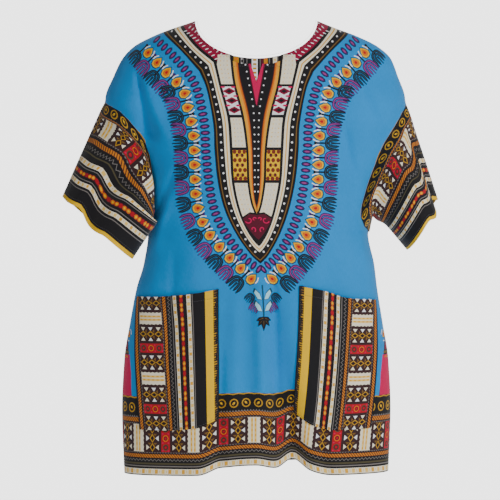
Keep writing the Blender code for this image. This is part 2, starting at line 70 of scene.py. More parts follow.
# Driving dimensions
GAP = 0.0003  # at each end of the facing, beside the front's neck edge
HEM_DROP = 0.770  # neck points to the hem, before it dips or lifts
NECK_HALF_WIDTH = 0.106
FRONT_NECK_DROP = 0.068
BACK_NECK_DROP = 0.060
UNDERARM_DROP = 0.366
SLEEVE_TOP_DROP = 0.136  # where the shoulder ridge ends and the sleeve is sewn on
SLIT_TOP_DROP = 0.728  # the side seams stay open below this
SLIT_SPREAD = 0.005  # each slit edge's distance from the middle plane at the hem
TORSO_ROUNDNESS = 2.4  # power of the torso's section, 2 is an ellipse
ARM_ROUNDNESS = 2.2
MERGE = 4.0  # how tightly the chest and the upper arms run into each other
FACING_DROP = 0.010  # the front's neck edge is cut this much lower over the facing
FACING_HALF_WIDTH = 0.041
FACING_LOW_DROP = 0.126
FACING_BEHIND = 0.0012  # between the front's inner side and the facing
FACING_THICKNESS = 0.0009
NOTCH_HALF_WIDTH = 0.010
NOTCH_DROP = 0.109
SEAM_STEPS = 14  # edges along half an armhole
SLEEVE_ROWS = 8
SEAM_OVERLAP = 0.0006  # how far a sleeve passes the body panels' armhole edge, so the seam is closed
SEAM_CROSS = 0.0014  # how far the panels' sewn edges pass the middle plane, so the seams are closed
SEAM_LIP = 0.005  # a sleeve first runs on in line with the body


def table(names, rows):
    """A short table as one array for each named column."""
    return dict(zip(names.split(), np.array(rows, float).T))


# The torso's sections: how far it reaches left and right, to the front and to the back.
TORSO = table(
    "drop left right front back",
    (
        (0.000, 0.106, 0.106, 0.008, 0.008),
        (0.004, 0.118, 0.116, 0.019, 0.020),
        (0.014, 0.148, 0.141, 0.034, 0.038),
        (0.024, 0.174, 0.169, 0.045, 0.051),
        (0.044, 0.212, 0.210, 0.062, 0.070),
        (0.065, 0.232, 0.233, 0.075, 0.083),
        (0.095, 0.247, 0.245, 0.088, 0.094),
        (0.136, 0.262, 0.258, 0.099, 0.101),
        (0.175, 0.232, 0.238, 0.107, 0.105),
        (0.220, 0.206, 0.216, 0.113, 0.107),
        (0.290, 0.192, 0.200, 0.118, 0.106),
        (0.366, 0.188, 0.194, 0.118, 0.102),
        (0.422, 0.196, 0.205, 0.114, 0.098),
        (0.462, 0.208, 0.210, 0.110, 0.096),
        (0.524, 0.220, 0.220, 0.104, 0.092),
        (0.585, 0.230, 0.230, 0.098, 0.088),
        (0.666, 0.234, 0.234, 0.092, 0.084),
        (0.770, 0.230, 0.230, 0.086, 0.080),
    ),
)

# The upper arms inside the front and back panels: outer edges, half width and depth.
ARMS = table(
    "drop left right half depth",
    (
        (0.050, 0.220, 0.219, 0.056, 0.000),
        (0.095, 0.247, 0.245, 0.057, 0.032),
        (0.136, 0.262, 0.258, 0.058, 0.050),
        (0.197, 0.288, 0.275, 0.060, 0.056),
        (0.238, 0.307, 0.290, 0.062, 0.058),
        (0.300, 0.336, 0.312, 0.066, 0.056),
        (0.345, 0.350, 0.325, 0.066, 0.000),
    ),
)

FOLD_COLUMNS = "top_x top_drop low_x low_drop top_half low_half top_depth low_depth"
# Folds run from a top to a low point. A positive depth is a ridge, a negative one is a trough.
FRONT_FOLDS = table(
    FOLD_COLUMNS,
    (
        (-0.202, 0.105, -0.183, 0.205, 0.020, 0.016, -0.002, -0.014),
        (-0.133, 0.235, -0.172, 0.350, 0.024, 0.030, 0.003, 0.005),
        (-0.170, 0.374, -0.186, 0.470, 0.014, 0.020, 0.006, 0.004),
        (-0.108, 0.350, -0.092, 0.790, 0.022, 0.040, 0.004, 0.014),
        (0.026, 0.440, 0.062, 0.800, 0.014, 0.030, -0.004, -0.036),
        (0.121, 0.360, 0.128, 0.500, 0.020, 0.024, -0.005, -0.006),
        (0.138, 0.150, 0.176, 0.440, 0.022, 0.026, -0.005, -0.011),
        (0.004, 0.520, 0.000, 0.800, 0.030, 0.042, 0.002, 0.008),
    ),
)
BACK_FOLDS = table(
    FOLD_COLUMNS,
    (
        (-0.200, 0.130, -0.176, 0.260, 0.022, 0.022, -0.002, -0.010),
        (0.198, 0.125, 0.178, 0.270, 0.022, 0.024, -0.002, -0.012),
        (-0.112, 0.260, -0.094, 0.790, 0.026, 0.038, 0.003, 0.015),
        (-0.030, 0.420, -0.012, 0.800, 0.020, 0.032, -0.004, -0.026),
        (0.052, 0.330, 0.070, 0.790, 0.026, 0.040, 0.003, 0.013),
        (0.132, 0.390, 0.138, 0.800, 0.018, 0.026, -0.004, -0.018),
    ),
)

# How far the hem lifts above its even level, across the front and the back.
FRONT_LIFT = table(
    "x lift",
    (
        (-0.240, -0.014),
        (-0.100, -0.009),
        (-0.060, 0.004),
        (0.000, 0.009),
        (0.034, 0.003),
        (0.062, 0.016),
        (0.092, -0.002),
        (0.125, -0.010),
        (0.240, -0.010),
    ),
)
BACK_LIFT = table(
    "x lift",
    (
        (-0.240, -0.014),
        (-0.140, -0.006),
        (-0.080, -0.010),
        (-0.015, 0.006),
        (0.060, -0.005),
        (0.138, 0.004),
        (0.240, -0.010),
    ),
)
# Finer creases, laid over the main folds without changing the cut.
FRONT_CREASES = table(
    FOLD_COLUMNS,
    (
        (-0.204, 0.094, -0.184, 0.196, 0.005, 0.007, -0.0069, -0.0048),
        (-0.190, 0.100, -0.160, 0.200, 0.010, 0.012, 0.0039, 0.0039),
        (-0.139, 0.258, -0.169, 0.335, 0.008, 0.010, -0.0048, -0.0059),
        (-0.150, 0.300, -0.178, 0.400, 0.007, 0.010, 0.0043, 0.0055),
        (0.004, 0.450, 0.012, 0.660, 0.010, 0.015, 0.0065, 0.0111),
        (0.029, 0.440, 0.036, 0.680, 0.005, 0.007, -0.0039, -0.0078),
        (-0.036, 0.480, -0.040, 0.700, 0.010, 0.016, 0.0030, 0.0069),
        (-0.060, 0.560, -0.066, 0.780, 0.006, 0.012, -0.0039, -0.0097),
        (0.150, 0.190, 0.176, 0.330, 0.007, 0.010, -0.0039, -0.0078),
        (0.165, 0.260, 0.184, 0.420, 0.006, 0.009, 0.0039, 0.0059),
        (0.110, 0.620, 0.116, 0.780, 0.008, 0.014, -0.0030, -0.0078),
        (-0.140, 0.400, -0.146, 0.560, 0.007, 0.010, -0.0023, -0.0039),
        (0.170, 0.090, 0.205, 0.180, 0.008, 0.010, -0.0030, -0.0048),
        (-0.100, 0.060, -0.060, 0.130, 0.010, 0.014, 0.0020, 0.0023),
    ),
)
BACK_CREASES = table(
    FOLD_COLUMNS,
    (
        (-0.196, 0.110, -0.180, 0.220, 0.006, 0.008, -0.0048, -0.0040),
        (0.192, 0.105, 0.176, 0.230, 0.006, 0.008, -0.0048, -0.0045),
        (-0.150, 0.300, -0.172, 0.420, 0.007, 0.010, 0.0032, 0.0048),
        (0.150, 0.290, 0.170, 0.400, 0.008, 0.011, -0.0035, -0.0048),
        (0.010, 0.380, 0.020, 0.640, 0.008, 0.013, 0.0032, 0.0054),
        (-0.060, 0.500, -0.066, 0.780, 0.008, 0.014, -0.0032, -0.0072),
        (0.096, 0.540, 0.104, 0.780, 0.009, 0.014, 0.0024, 0.0058),
        (-0.150, 0.560, -0.156, 0.770, 0.008, 0.012, -0.0024, -0.0058),
    ),
)
# Creases on the sleeves: where they start and end (round from under the arm, along to the cuff),
# their half width and their depth in millimetres.
SLEEVE_CREASES = {
    "left": (
        (0.40, 0.05, 0.34, 0.60, 0.020, -2.2),
        (0.30, 0.10, 0.26, 0.90, 0.024, 2.0),
        (0.66, 0.05, 0.72, 0.70, 0.022, -2.0),
        (0.55, 0.30, 0.60, 1.00, 0.026, 1.8),
        (0.84, 0.10, 0.80, 0.80, 0.020, -1.8),
        (0.14, 0.20, 0.18, 0.90, 0.020, -1.6),
    ),
    "right": (
        (0.62, 0.05, 0.68, 0.60, 0.020, -2.2),
        (0.72, 0.10, 0.76, 0.90, 0.024, 2.0),
        (0.36, 0.05, 0.30, 0.70, 0.022, -2.0),
        (0.46, 0.30, 0.42, 1.00, 0.026, 1.8),
        (0.18, 0.10, 0.22, 0.80, 0.020, -1.8),
        (0.88, 0.20, 0.84, 0.90, 0.020, -1.6),
    ),
}

# Sizes of the printed strips, in millimetres.
POCKET_LENGTH = 232.0
POCKET_WIDTH = 162.0
SLEEVE_LENGTH = 175
HEM_PRINT_LENGTH = 620
HEM_PRINT_HEIGHT = 130

LIFT_START = 0.500  # drop where the hem's lift begins to show
FINE_FADE = 0.05  # fine creases fade out over the same kind of edge
FOLD_FADE = 0.03  # folds fade out where the cloth stands out less than this

FACES = {
    "front": {"sign": -1.0, "folds": FRONT_FOLDS, "fine": FRONT_CREASES, "lift": FRONT_LIFT},
    "back": {"sign": 1.0, "folds": BACK_FOLDS, "fine": BACK_CREASES, "lift": BACK_LIFT},
}

# The armhole seams, from the shoulder ridge to the underarm.
SEAMS = {
    ("left", "front"): (
        (-0.243, 0.152),
        (-0.224, 0.166),
        (-0.200, 0.194),
        (-0.185, 0.224),
        (-0.178, 0.290),
        (-0.181, 0.335),
    ),
    ("left", "back"): ((-0.246, 0.168), (-0.216, 0.215), (-0.181, 0.290), (-0.179, 0.340)),
    ("right", "front"): (
        (0.249, 0.161),
        (0.218, 0.212),
        (0.204, 0.246),
        (0.188, 0.291),
        (0.179, 0.328),
        (0.184, 0.354),
    ),
    ("right", "back"): ((0.244, 0.168), (0.214, 0.215), (0.187, 0.290), (0.185, 0.340)),
}

# Sleeve rings, from the armhole (0) to the cuff (1). Each passes through four points: one on the
# outer line of the arm, one at the front, one on the inner line and one at the back.
SLEEVE_COLUMNS = (
    "at outer_x outer_y outer_z front_x front_y front_z inner_x inner_y inner_z back_x back_y back_z"
)
SLEEVE_RINGS = {
    "left": (
        (0.00, -0.262, 0.0, -0.136, -0.186, -0.054, -0.218, -0.188, 0.0, -0.366, -0.205, 0.055, -0.245),
        (0.30, -0.284, 0.0, -0.185, -0.184, -0.078, -0.266, -0.194, -0.018, -0.352, -0.238, 0.05, -0.285),
        (0.62, -0.308, -0.004, -0.239, -0.236, -0.09, -0.294, -0.169, -0.074, -0.346, -0.254, 0.04, -0.31),
        (1.00, -0.336, -0.01, -0.303, -0.274, -0.084, -0.357, -0.213, -0.04, -0.411, -0.276, 0.034, -0.36),
    ),
    "right": (
        (0.00, 0.258, 0.0, -0.136, 0.198, -0.05, -0.262, 0.194, 0.0, -0.366, 0.21, 0.055, -0.245),
        (0.25, 0.272, 0.0, -0.179, 0.237, -0.07, -0.252, 0.204, -0.004, -0.33, 0.24, 0.064, -0.262),
        (0.60, 0.292, -0.004, -0.239, 0.262, -0.084, -0.298, 0.23, -0.008, -0.359, 0.265, 0.07, -0.304),
        (1.00, 0.314, -0.01, -0.308, 0.288, -0.09, -0.352, 0.261, -0.01, -0.396, 0.29, 0.07, -0.356),
    ),
}
SLEEVES = {side: table(SLEEVE_COLUMNS, rows) for side, rows in SLEEVE_RINGS.items()}
# One deep fold runs down each sleeve: where round the front half it lies, its half width, its
# depth, and how far its two lips slide along x and z.
SLEEVE_FOLDS = {
    "left": {"at": 0.40, "half": 0.085, "depth": 0.013, "slide_x": 0.000, "slide_z": 0.009},
    "right": {"at": 0.27, "half": 0.085, "depth": 0.010, "slide_x": -0.007, "slide_z": 0.008},
}
SLIDE_SCALE = 2.33  # gives a sleeve fold's slide its full amount beside the fold
SLEEVE_FREE = 0.55  # the part of its length over which a sleeve leaves the armhole's shape
BODY_CLEARANCE = 0.005
CLEAR_BELOW = 0.17  # drop below which a sleeve has the torso beside it

# Pocket corners on the front, as (x, drop): a top edge and a bottom edge.
POCKETS = {
    "left": {
        "top": ((-0.205, 0.476), (-0.154, 0.473), (-0.106, 0.467), (-0.064, 0.459)),
        "low": ((-0.200, 0.693), (-0.154, 0.694), (-0.106, 0.690), (-0.064, 0.683)),
    },
    "right": {
        "top": ((0.072, 0.454), (0.116, 0.463), (0.156, 0.476), (0.205, 0.481)),
        "low": ((0.064, 0.684), (0.110, 0.692), (0.156, 0.694), (0.196, 0.692)),
    },
}

# The stage: a pale floor, a room that is seen brighter than it lights the shirt, and three lights.
FLOOR_HALF_SIZE = 2.6
FLOOR_BELOW = 0.45  # from the hem down to the floor
FLOOR_GLOW = 0.35
ROOM_SEEN = 4.0
BACK_LIGHT_SHARE = 4.0  # the back light's power, as a share of the fill's
CAMERA_TILT = 2.0  # degrees
LOOK_AT = (-0.011, -0.394)  # x and z of the point in the middle of the view
FRONT_SHARE = 0.7  # how far forward that point lies, as a share of the shirt's front


# The meshes and the stitches.
LEAST_HEIGHT = 0.004  # flatter triangles of the cut are left out, in millimetres
CURVE_SAMPLES = 161  # points across a section
CENTRE_SAMPLE = CURVE_SAMPLES // 2
SHARP_ANGLE = 50  # degrees between faces that are shaded as an edge
BAKE_SHARE = (0.485, 0.985)  # the part of the bake image that each side of the cloth has
BAKE_MARGIN = 0.0075
# The reverse of the cloth is a paler print, and its raw edges are darker.
REVERSE_SCALE = (0.80, 0.80, 0.80, 1.0)
REVERSE_ADD = (0.04, 0.045, 0.055, 0.0)
RAW_EDGE_SCALE = (0.7, 0.7, 0.7, 1.0)
STITCH_LIFT = 0.0001  # from the cloth to the thread's middle
HEM_STITCH = 0.012  # from the hem up to its stitches


def read(columns, name, at, key="drop"):
    """A smooth value from a table, with no overshoot between its rows."""
    x = columns[key]
    y = columns[name]
    step = np.diff(x)
    slope = np.diff(y) / step
    tangent = np.zeros_like(y)
    product = slope[:-1] * slope[1:]
    total = np.where(product > 0, slope[:-1] + slope[1:], 1.0)
    tangent[1:-1] = np.where(product > 0, 2 * product / total, 0.0)
    tangent[0] = slope[0]
    tangent[-1] = slope[-1]
    at = np.clip(np.asarray(at, float), x[0], x[-1])
    i = np.clip(np.searchsorted(x, at, side="right") - 1, 0, len(step) - 1)
    t = (at - x[i]) / step[i]
    low = (2 * t**3 - 3 * t**2 + 1) * y[i] + (t**3 - 2 * t**2 + t) * step[i] * tangent[i]
    high = (3 * t**2 - 2 * t**3) * y[i + 1] + (t**3 - t**2) * step[i] * tangent[i + 1]
    return low + high


def ease(t):
    """0 to 1 with level ends."""
    t = np.clip(t, 0.0, 1.0)
    return t * t * (3 - 2 * t)


def bulge(x, centre, half, depth, power):
    """The height of a rounded section above its middle plane."""
    reach = np.clip(np.abs(x - centre) / half, 0.0, 1.0)
    return depth * (1 - reach**power) ** (1 / power)


def torso_reach(x, drop):
    """How far the torso reaches on the side where x lies."""
    return np.where(x < 0, read(TORSO, "left", drop), read(TORSO, "right", drop))


def stand_out(x, drop, face):
    """How far the worn cloth stands out from the middle plane, folds included."""
    reach = torso_reach(x, drop)
    torso = bulge(x, 0.0, reach, read(TORSO, face, drop), TORSO_ROUNDNESS)
    half = read(ARMS, "half", drop)
    outer = np.where(x < 0, -read(ARMS, "left", drop) + half, read(ARMS, "right", drop) - half)
    arm = bulge(x, outer, half, read(ARMS, "depth", drop), ARM_ROUNDNESS)
    height = (torso**MERGE + arm**MERGE) ** (1 / MERGE)
    edge = 1 - np.clip(np.abs(x) / np.maximum(reach, 1e-6), 0.0, 1.0) ** 6
    edge = np.where(drop < UNDERARM_DROP, 1.0, edge) * np.clip(height / FOLD_FADE, 0.0, 1.0)
    height = height + edge * fold_height(FACES[face]["folds"], x, drop)
    return np.maximum(height, 0.0)


def fold_height(folds, x, drop):
    """The ridges and troughs of one table of folds."""
    total = np.zeros(np.broadcast(x, drop).shape)
    for i in range(len(folds["top_x"])):
        fold = {name: folds[name][i] for name in folds}
        t = (drop - fold["top_drop"]) / (fold["low_drop"] - fold["top_drop"])
        middle = fold["top_x"] + (fold["low_x"] - fold["top_x"]) * t
        width = fold["top_half"] + (fold["low_half"] - fold["top_half"]) * np.clip(t, 0.0, 1.0)
        depth = fold["top_depth"] + (fold["low_depth"] - fold["top_depth"]) * np.clip(t, 0.0, 1.0) ** 1.5
        ends = ease((t + 0.15) / 0.3) * ease((1.15 - t) / 0.3)
        total = total + ends * depth * np.exp(-(((x - middle) / width) ** 2))
    return total


def edge_x(drop, side):
    """The outer edge of the panels at a drop: the shoulder, the arm or the side seam."""
    torso = read(TORSO, side, drop)
    arm = read(ARMS, side, drop)
    return np.where((drop > SLEEVE_TOP_DROP) & (drop < UNDERARM_DROP), np.maximum(torso, arm), torso)


def section(drop, face):
    """Points across the cloth at each drop, and the distance over the cloth to each of them."""
    drop = np.atleast_1d(np.asarray(drop, float))
    turn = np.linspace(-1.0, 1.0, CURVE_SAMPLES)[None, :]
    reach = np.where(turn < 0, edge_x(drop, "left")[:, None], edge_x(drop, "right")[:, None])
    x = reach * np.sin(turn * np.pi / 2)
    height = stand_out(x, np.broadcast_to(drop[:, None], x.shape), face)
    step = np.hypot(np.diff(x, axis=1), np.diff(height, axis=1))
    along = np.concatenate([np.zeros((len(drop), 1)), np.cumsum(step, axis=1)], axis=1)
    return x, along - along[:, CENTRE_SAMPLE : CENTRE_SAMPLE + 1]


def read_rows(keys, values, at):
    """The value in each row of `values` where the same row of `keys` reaches `at`."""
    i = np.clip((keys <= at[:, None]).sum(axis=1) - 1, 0, keys.shape[1] - 2)
    rows = np.arange(len(at))
    t = np.clip((at - keys[rows, i]) / (keys[rows, i + 1] - keys[rows, i]), 0.0, 1.0)
    return values[rows, i] + t * (values[rows, i + 1] - values[rows, i])


def along_of(x, drop, face):
    """The distance over the cloth from the centre line to x."""
    xs, along = section(drop, face)
    return read_rows(xs, along, np.atleast_1d(x))


def place(along, drop, face, out=0.0):
    """Where the flat cut's points lie in the worn shirt, moved out along the cloth's normal."""
    along = np.atleast_1d(np.asarray(along, float))
    drop = np.atleast_1d(np.asarray(drop, float))
    base = rest_point(along, drop, face)
    if np.all(np.asarray(out) == 0.0):
        return base
    return base + np.asarray(out)[..., None] * normal(along, drop, face)


def rest_point(along, drop, face):
    """A point of the flat cut on the worn cloth's outer side."""
    xs, arc = section(drop, face)
    x = read_rows(arc, xs, along)
    sign = FACES[face]["sign"]
    height = stand_out(x, drop, face)
    calm = np.clip(height / FINE_FADE, 0.0, 1.0)
    y = sign * (height + calm * fold_height(FACES[face]["fine"], x, drop))
    slit = ease((drop - SLIT_TOP_DROP) / (HEM_DROP - SLIT_TOP_DROP))
    near_edge = np.clip(np.abs(x) / np.maximum(torso_reach(x, drop), 1e-6), 0.0, 1.0) ** 12
    y = y + sign * (SLIT_SPREAD * slit * near_edge - SEAM_CROSS)
    low = ease((drop - LIFT_START) / (HEM_DROP - LIFT_START))
    lift = low * read(FACES[face]["lift"], "lift", x, key="x")
    return np.stack([x, y, lift - drop], axis=1)


def normal(along, drop, face):
    """The cloth's outward normal."""
    d = 0.0015
    # Differences are taken towards the centre line, so that they stay on the cloth at its edges.
    inward = np.where(along > 0, -d, d)
    across = rest_point(along + inward, drop, face) - rest_point(along, drop, face)
    across = across * np.sign(inward)[:, None]
    down = rest_point(along, drop + d, face) - rest_point(along, np.maximum(drop - d, 0.0), face)
    n = np.cross(down, across)
    n = n / np.linalg.norm(n, axis=1, keepdims=True)
    return n * np.where(n[:, 1] * FACES[face]["sign"] < 0, -1.0, 1.0)[:, None]


def smooth_path(points, count):
    """Evenly spaced points on a smooth curve through a few."""
    p = np.array(points, float)
    p = np.vstack([2 * p[0] - p[1], p, 2 * p[-1] - p[-2]])
    t = np.linspace(0, 1, 16, endpoint=False)[:, None]
    runs = []
    for a, b, c, d in zip(p[:-3], p[1:-2], p[2:-1], p[3:]):
        square = (2 * a - 5 * b + 4 * c - d) * t**2
        cube = (3 * b - a - 3 * c + d) * t**3
        runs.append(0.5 * (2 * b + (c - a) * t + square + cube))
    curve = np.vstack(runs + [p[-2:-1]])
    length = np.concatenate([[0.0], np.cumsum(np.linalg.norm(np.diff(curve, axis=0), axis=1))])
    at = np.linspace(0, length[-1], count)
    return np.stack([np.interp(at, length, curve[:, k]) for k in range(p.shape[1])], axis=1)


def flat(points, face):
    """Points given as x and drop, in the flat cut."""
    points = np.array(points, float)
    return np.stack([along_of(points[:, 0], points[:, 1], face), points[:, 1]], axis=1)


def seam(side, face):
    """An armhole seam in the flat cut, from the shoulder ridge to the underarm."""
    sign = -1.0 if side == "left" else 1.0
    top = (sign * edge_x(SLEEVE_TOP_DROP, side), SLEEVE_TOP_DROP)
    low = (sign * read(TORSO, side, UNDERARM_DROP), UNDERARM_DROP)
    cut = flat((top, *SEAMS[(side, face)], low), face)
    cut[0, 0] = section(cut[0, 1], face)[1][0, 0 if side == "left" else -1]
    return smooth_path(cut, SEAM_STEPS + 1)


def rim(drops, side, face):
    """The panel's outermost points at these drops, where front and back meet."""
    arc = section(drops, face)[1]
    return np.stack([arc[:, 0 if side == "left" else -1], drops], axis=1)


def neck_edge(face):
    """The neck opening from the right neck point to the left one."""
    deep = FRONT_NECK_DROP if face == "front" else BACK_NECK_DROP
    turn = np.linspace(0.0, np.pi, 25)
    points = [(NECK_HALF_WIDTH * np.cos(a), deep * np.sin(a)) for a in turn]
    if face == "back":
        return flat(points, face)
    half = FACING_HALF_WIDTH
    right = [p for p in points if p[0] > half + 0.004]
    left = [p for p in points if p[0] < -half - 0.004]
    low = FRONT_NECK_DROP + FACING_DROP
    step = neck_drop(half)
    middle = [
        (half, step),
        (half, step + FACING_DROP),
        (0.026, low),
        (NOTCH_HALF_WIDTH, low),
        (0.0, NOTCH_DROP),
        (-NOTCH_HALF_WIDTH, low),
        (-0.026, low),
        (-half, step + FACING_DROP),
        (-half, step),
    ]
    return flat(right + middle + left, face)


def neck_drop(x):
    """The front neck edge's drop at a distance from the centre line."""
    return FRONT_NECK_DROP * np.sqrt(1 - (x / NECK_HALF_WIDTH) ** 2)


def inside(points, outline):
    """Which points lie inside a closed outline."""
    x, y = points[:, 0:1], points[:, 1:2]
    a, b = outline, np.roll(outline, -1, axis=0)
    crosses = (a[:, 1] > y) != (b[:, 1] > y)
    fall = np.where(b[:, 1] == a[:, 1], 1.0, b[:, 1] - a[:, 1])
    at = a[:, 0] + (y - a[:, 1]) * (b[:, 0] - a[:, 0]) / fall
    return (crosses & (x < at)).sum(axis=1) % 2 == 1


def body_outline(face):
    """A body panel's cut: neck, shoulder ridge, armhole, side seam and hem."""
    ridge = SLEEVE_TOP_DROP * np.linspace(0.0, 1.0, 13)[1:-1] ** 1.6
    sides = np.linspace(UNDERARM_DROP, HEM_DROP, 13)
    hem = np.linspace(1.0, -1.0, 33)[1:-1]
    arc = section(HEM_DROP, face)[1][0]
    hem_along = np.where(hem > 0, hem * arc[-1], -hem * arc[0])
    hem_points = np.stack([hem_along, np.full(len(hem), HEM_DROP)], axis=1)
    down = [rim(ridge, "right", face), seam("right", face)[:-1], rim(sides, "right", face)]
    up = [rim(sides[::-1], "left", face), seam("left", face)[::-1][1:], rim(ridge[::-1], "left", face)]
    neck = neck_edge(face)[::-1]
    return np.vstack([*down, hem_points, *up, neck])


def sleeve_ring(side, at):
    """One ring of a sleeve, free of the armhole, starting at the top of the arm."""
    rings = SLEEVES[side]
    outer, front, inner, back = (
        np.array([np.interp(at, rings["at"], rings[f"{name}_{axis}"]) for axis in "xyz"])
        for name in ("outer", "front", "inner", "back")
    )
    centre = (outer + inner) / 2
    turn = np.arange(2 * SEAM_STEPS) * np.pi / SEAM_STEPS
    half = np.where((turn <= np.pi)[:, None], front - centre, centre - back)
    ring = centre + (outer - centre) * np.cos(turn)[:, None] + half * np.sin(turn)[:, None]
    fold = SLEEVE_FOLDS[side]
    off = (turn / np.pi - fold["at"]) / fold["half"]
    grow = ease(at / 0.5)
    ring[:, 1] += grow * fold["depth"] * np.exp(-(off**2))
    slide = SLIDE_SCALE * off * np.exp(-(off**2))
    ring[:, 0] -= grow * fold["slide_x"] * slide
    ring[:, 2] -= grow * fold["slide_z"] * slide
    return ring


def clear_of_body(points):
    """Points moved out from the middle of the torso until they clear it."""
    drop = -points[:, 2]
    wide = torso_reach(points[:, 0], drop) + BODY_CLEARANCE
    deep = np.where(points[:, 1] < 0, read(TORSO, "front", drop), read(TORSO, "back", drop))
    deep = deep + BODY_CLEARANCE
    level = np.abs(points[:, 0] / wide) ** TORSO_ROUNDNESS
    level = level + np.abs(points[:, 1] / deep) ** TORSO_ROUNDNESS
    grow = np.where((level < 1) & (drop > CLEAR_BELOW), level ** (-1 / TORSO_ROUNDNESS), 1.0)
    grow = np.clip(grow, 1.0, 1.5)
    return points * np.stack([grow, grow, np.ones_like(grow)], axis=1)


def pocket_outline(side):
    """A patch pocket's edge in the front's flat cut."""
    top_edge = smooth_path(flat(POCKETS[side]["top"], "front"), 9)
    low_edge = smooth_path(flat(POCKETS[side]["low"], "front"), 9)
    right_edge = np.linspace(top_edge[-1], low_edge[-1], 7)[1:-1]
    left_edge = np.linspace(low_edge[0], top_edge[0], 7)[1:-1]
    return np.vstack([top_edge, right_edge, low_edge[::-1], left_edge])


# ---------------------------------------------------------------- the print, in millimetres

# Half of the neck motif, from the shoulder to the tip: the outer edge of its banding, the inner
# edge, and the edge of the orange middle. Each has a part over the shoulder and a part below.
YOKE_SHOULDER = ((166, 20), (130, 54), (97, 91))
YOKE_SIDE = ((97, 91), (84, 123), (73, 181), (71, 224), (66, 274), (55, 323), (37, 366), (15, 401), (0, 416))
BAND_SHOULDER = ((134, 6), (104, 46), (71, 74))
BAND_SIDE = ((71, 74), (61, 117), (47, 170), (43, 224), (40, 277), (30, 326), (18, 358), (6, 378), (0, 384))
MIDDLE = ((43, 62), (37, 112), (23, 167), (15, 224), (13, 277), (7, 315), (0, 334))
MIDDLE_IN = ((31, 62), (26, 104), (11, 167), (6, 224), (5, 277), (3, 305), (0, 318))
# Across the banding from its outer edge (0) to its inner edge (1).
YOKE_BANDS = (
    (0.14, 0.21, "ochre"),
    (0.60, 0.92, "cream"),
    (0.72, 0.79, "pale_gold"),
)
YOKE_DOTS_AT = 0.42
# Across the middle's edge in the same way.
MIDDLE_BANDS = (
    (0.14, 0.44, "pale_gold"),
    (0.38, 0.60, "light_orange"),
    (0.58, 0.78, "orange"),
    (0.78, 0.90, "red_brown"),
)
# Blocks down the panel beside the middle, as drops and fills. The last ends on the heart's edge.
YOKE_BLOCKS = (
    (62, 113, "cream_dots"),
    (117, 165, "ikat"),
    (170, 220, "cream_dots"),
    (225, 275, "lattice"),
    (280, 336, "cream_dots"),
)
# Guides for the rings round the motif: petals and teardrops.
PETALS = (
    (178, 30), (142, 64), (113, 99), (99, 128), (88, 182), (86, 224),
    (80, 284), (70, 331), (50, 374), (26, 407), (0, 428),
)
TEARS = (
    (196, 48), (162, 84), (126, 120), (117, 150), (107, 196), (105, 250),
    (102, 312), (88, 356), (63, 392), (30, 428), (10, 450),
)
TEAR_SHAPE = np.array(
    ((9.5, 0), (4, 4.6), (-2, 6.8), (-7.4, 4.4), (-8.6, 0), (-7.4, -4.4), (-2, -6.8), (4, -4.6))
)
TEAR_STROKE = ((-1, 8.6), (5, 8.2), (10, 5.4), (10.5, 7.4), (4, 10.6), (-1, 10.4))
TEAR_PITCH = 24.5
PETAL_PITCH = 10.6
COMB_OUTWARD = 24.0  # from the ring of teardrops to the combs
SMALL_COMBS = (((22, 474), 0.9, True), ((16, 490), 1.1, False))
PALMETTE_FOOT = (0, 508)

# Border bands from the top edge down: start, end, kind and main colour.
HEM_BANDS = (
    (0, 130, "plain", "black"),
    (0, 3, "wave", "gold"),
    (8, 28, "rings", "gold"),
    (30, 33, "dashes", "grey"),
    (33, 41, "rope", "rope"),
    (42, 92, "blocks", "brown"),
    (93, 100, "rope", "rope"),
    (101, 106, "zigzag", "grey"),
    (108, 111, "plain", "olive"),
    (113, 115, "plain", "grey"),
    (118, 128, "strip", "cream"),
)
SLEEVE_BANDS = (
    (0, 175, "plain", "black"),
    (0, 2, "plain", "gold"),
    (3, 22, "rings", "gold"),
    (23, 25, "dashes", "grey"),
    (25, 30, "rope", "rope"),
    (31, 74, "blocks", "brown"),
    (76, 82, "rope", "rope"),
    (84, 90, "zigzag", "grey"),
    (92, 94, "plain", "olive"),
    (102, 109, "strip", "cream"),
    (112, 113.5, "plain", "grey"),
    (118, 126, "beads", "orange"),
    (130, 131.5, "plain", "grey"),
    (135, 142, "strip", "cream"),
    (146, 147.5, "plain", "grey"),
    (167, 175, "plain", "yellow"),
)
POCKET_BANDS = (
    (0, 166, "plain", "black"),
    (3, 13, "comb", "gold"),
    (9, 23, "plain", "yellow"),
    (23, 42, "plain", "black"),
    (42.5, 44, "plain", "grey"),
    (46, 53, "strip", "cream"),
    (59, 66, "beads", "orange"),
    (71, 77, "strip", "cream"),
    (80, 81.5, "plain", "grey"),
    (84, 90, "zigzag", "grey"),
    (92, 98, "rope", "rope"),
    (99, 150, "blocks", "brown"),
    (152, 159, "rope", "rope"),
)
RING_BUD = ((-3.6, -1.4), (0, -2.0), (3.4, 0), (0, 2.0), (-3.6, 1.4))
BLOCK_GAP = 2.0
BLOCKS = (("white_gold", 24), ("diamonds", 27), ("red_rings", 18), ("diamonds", 27))


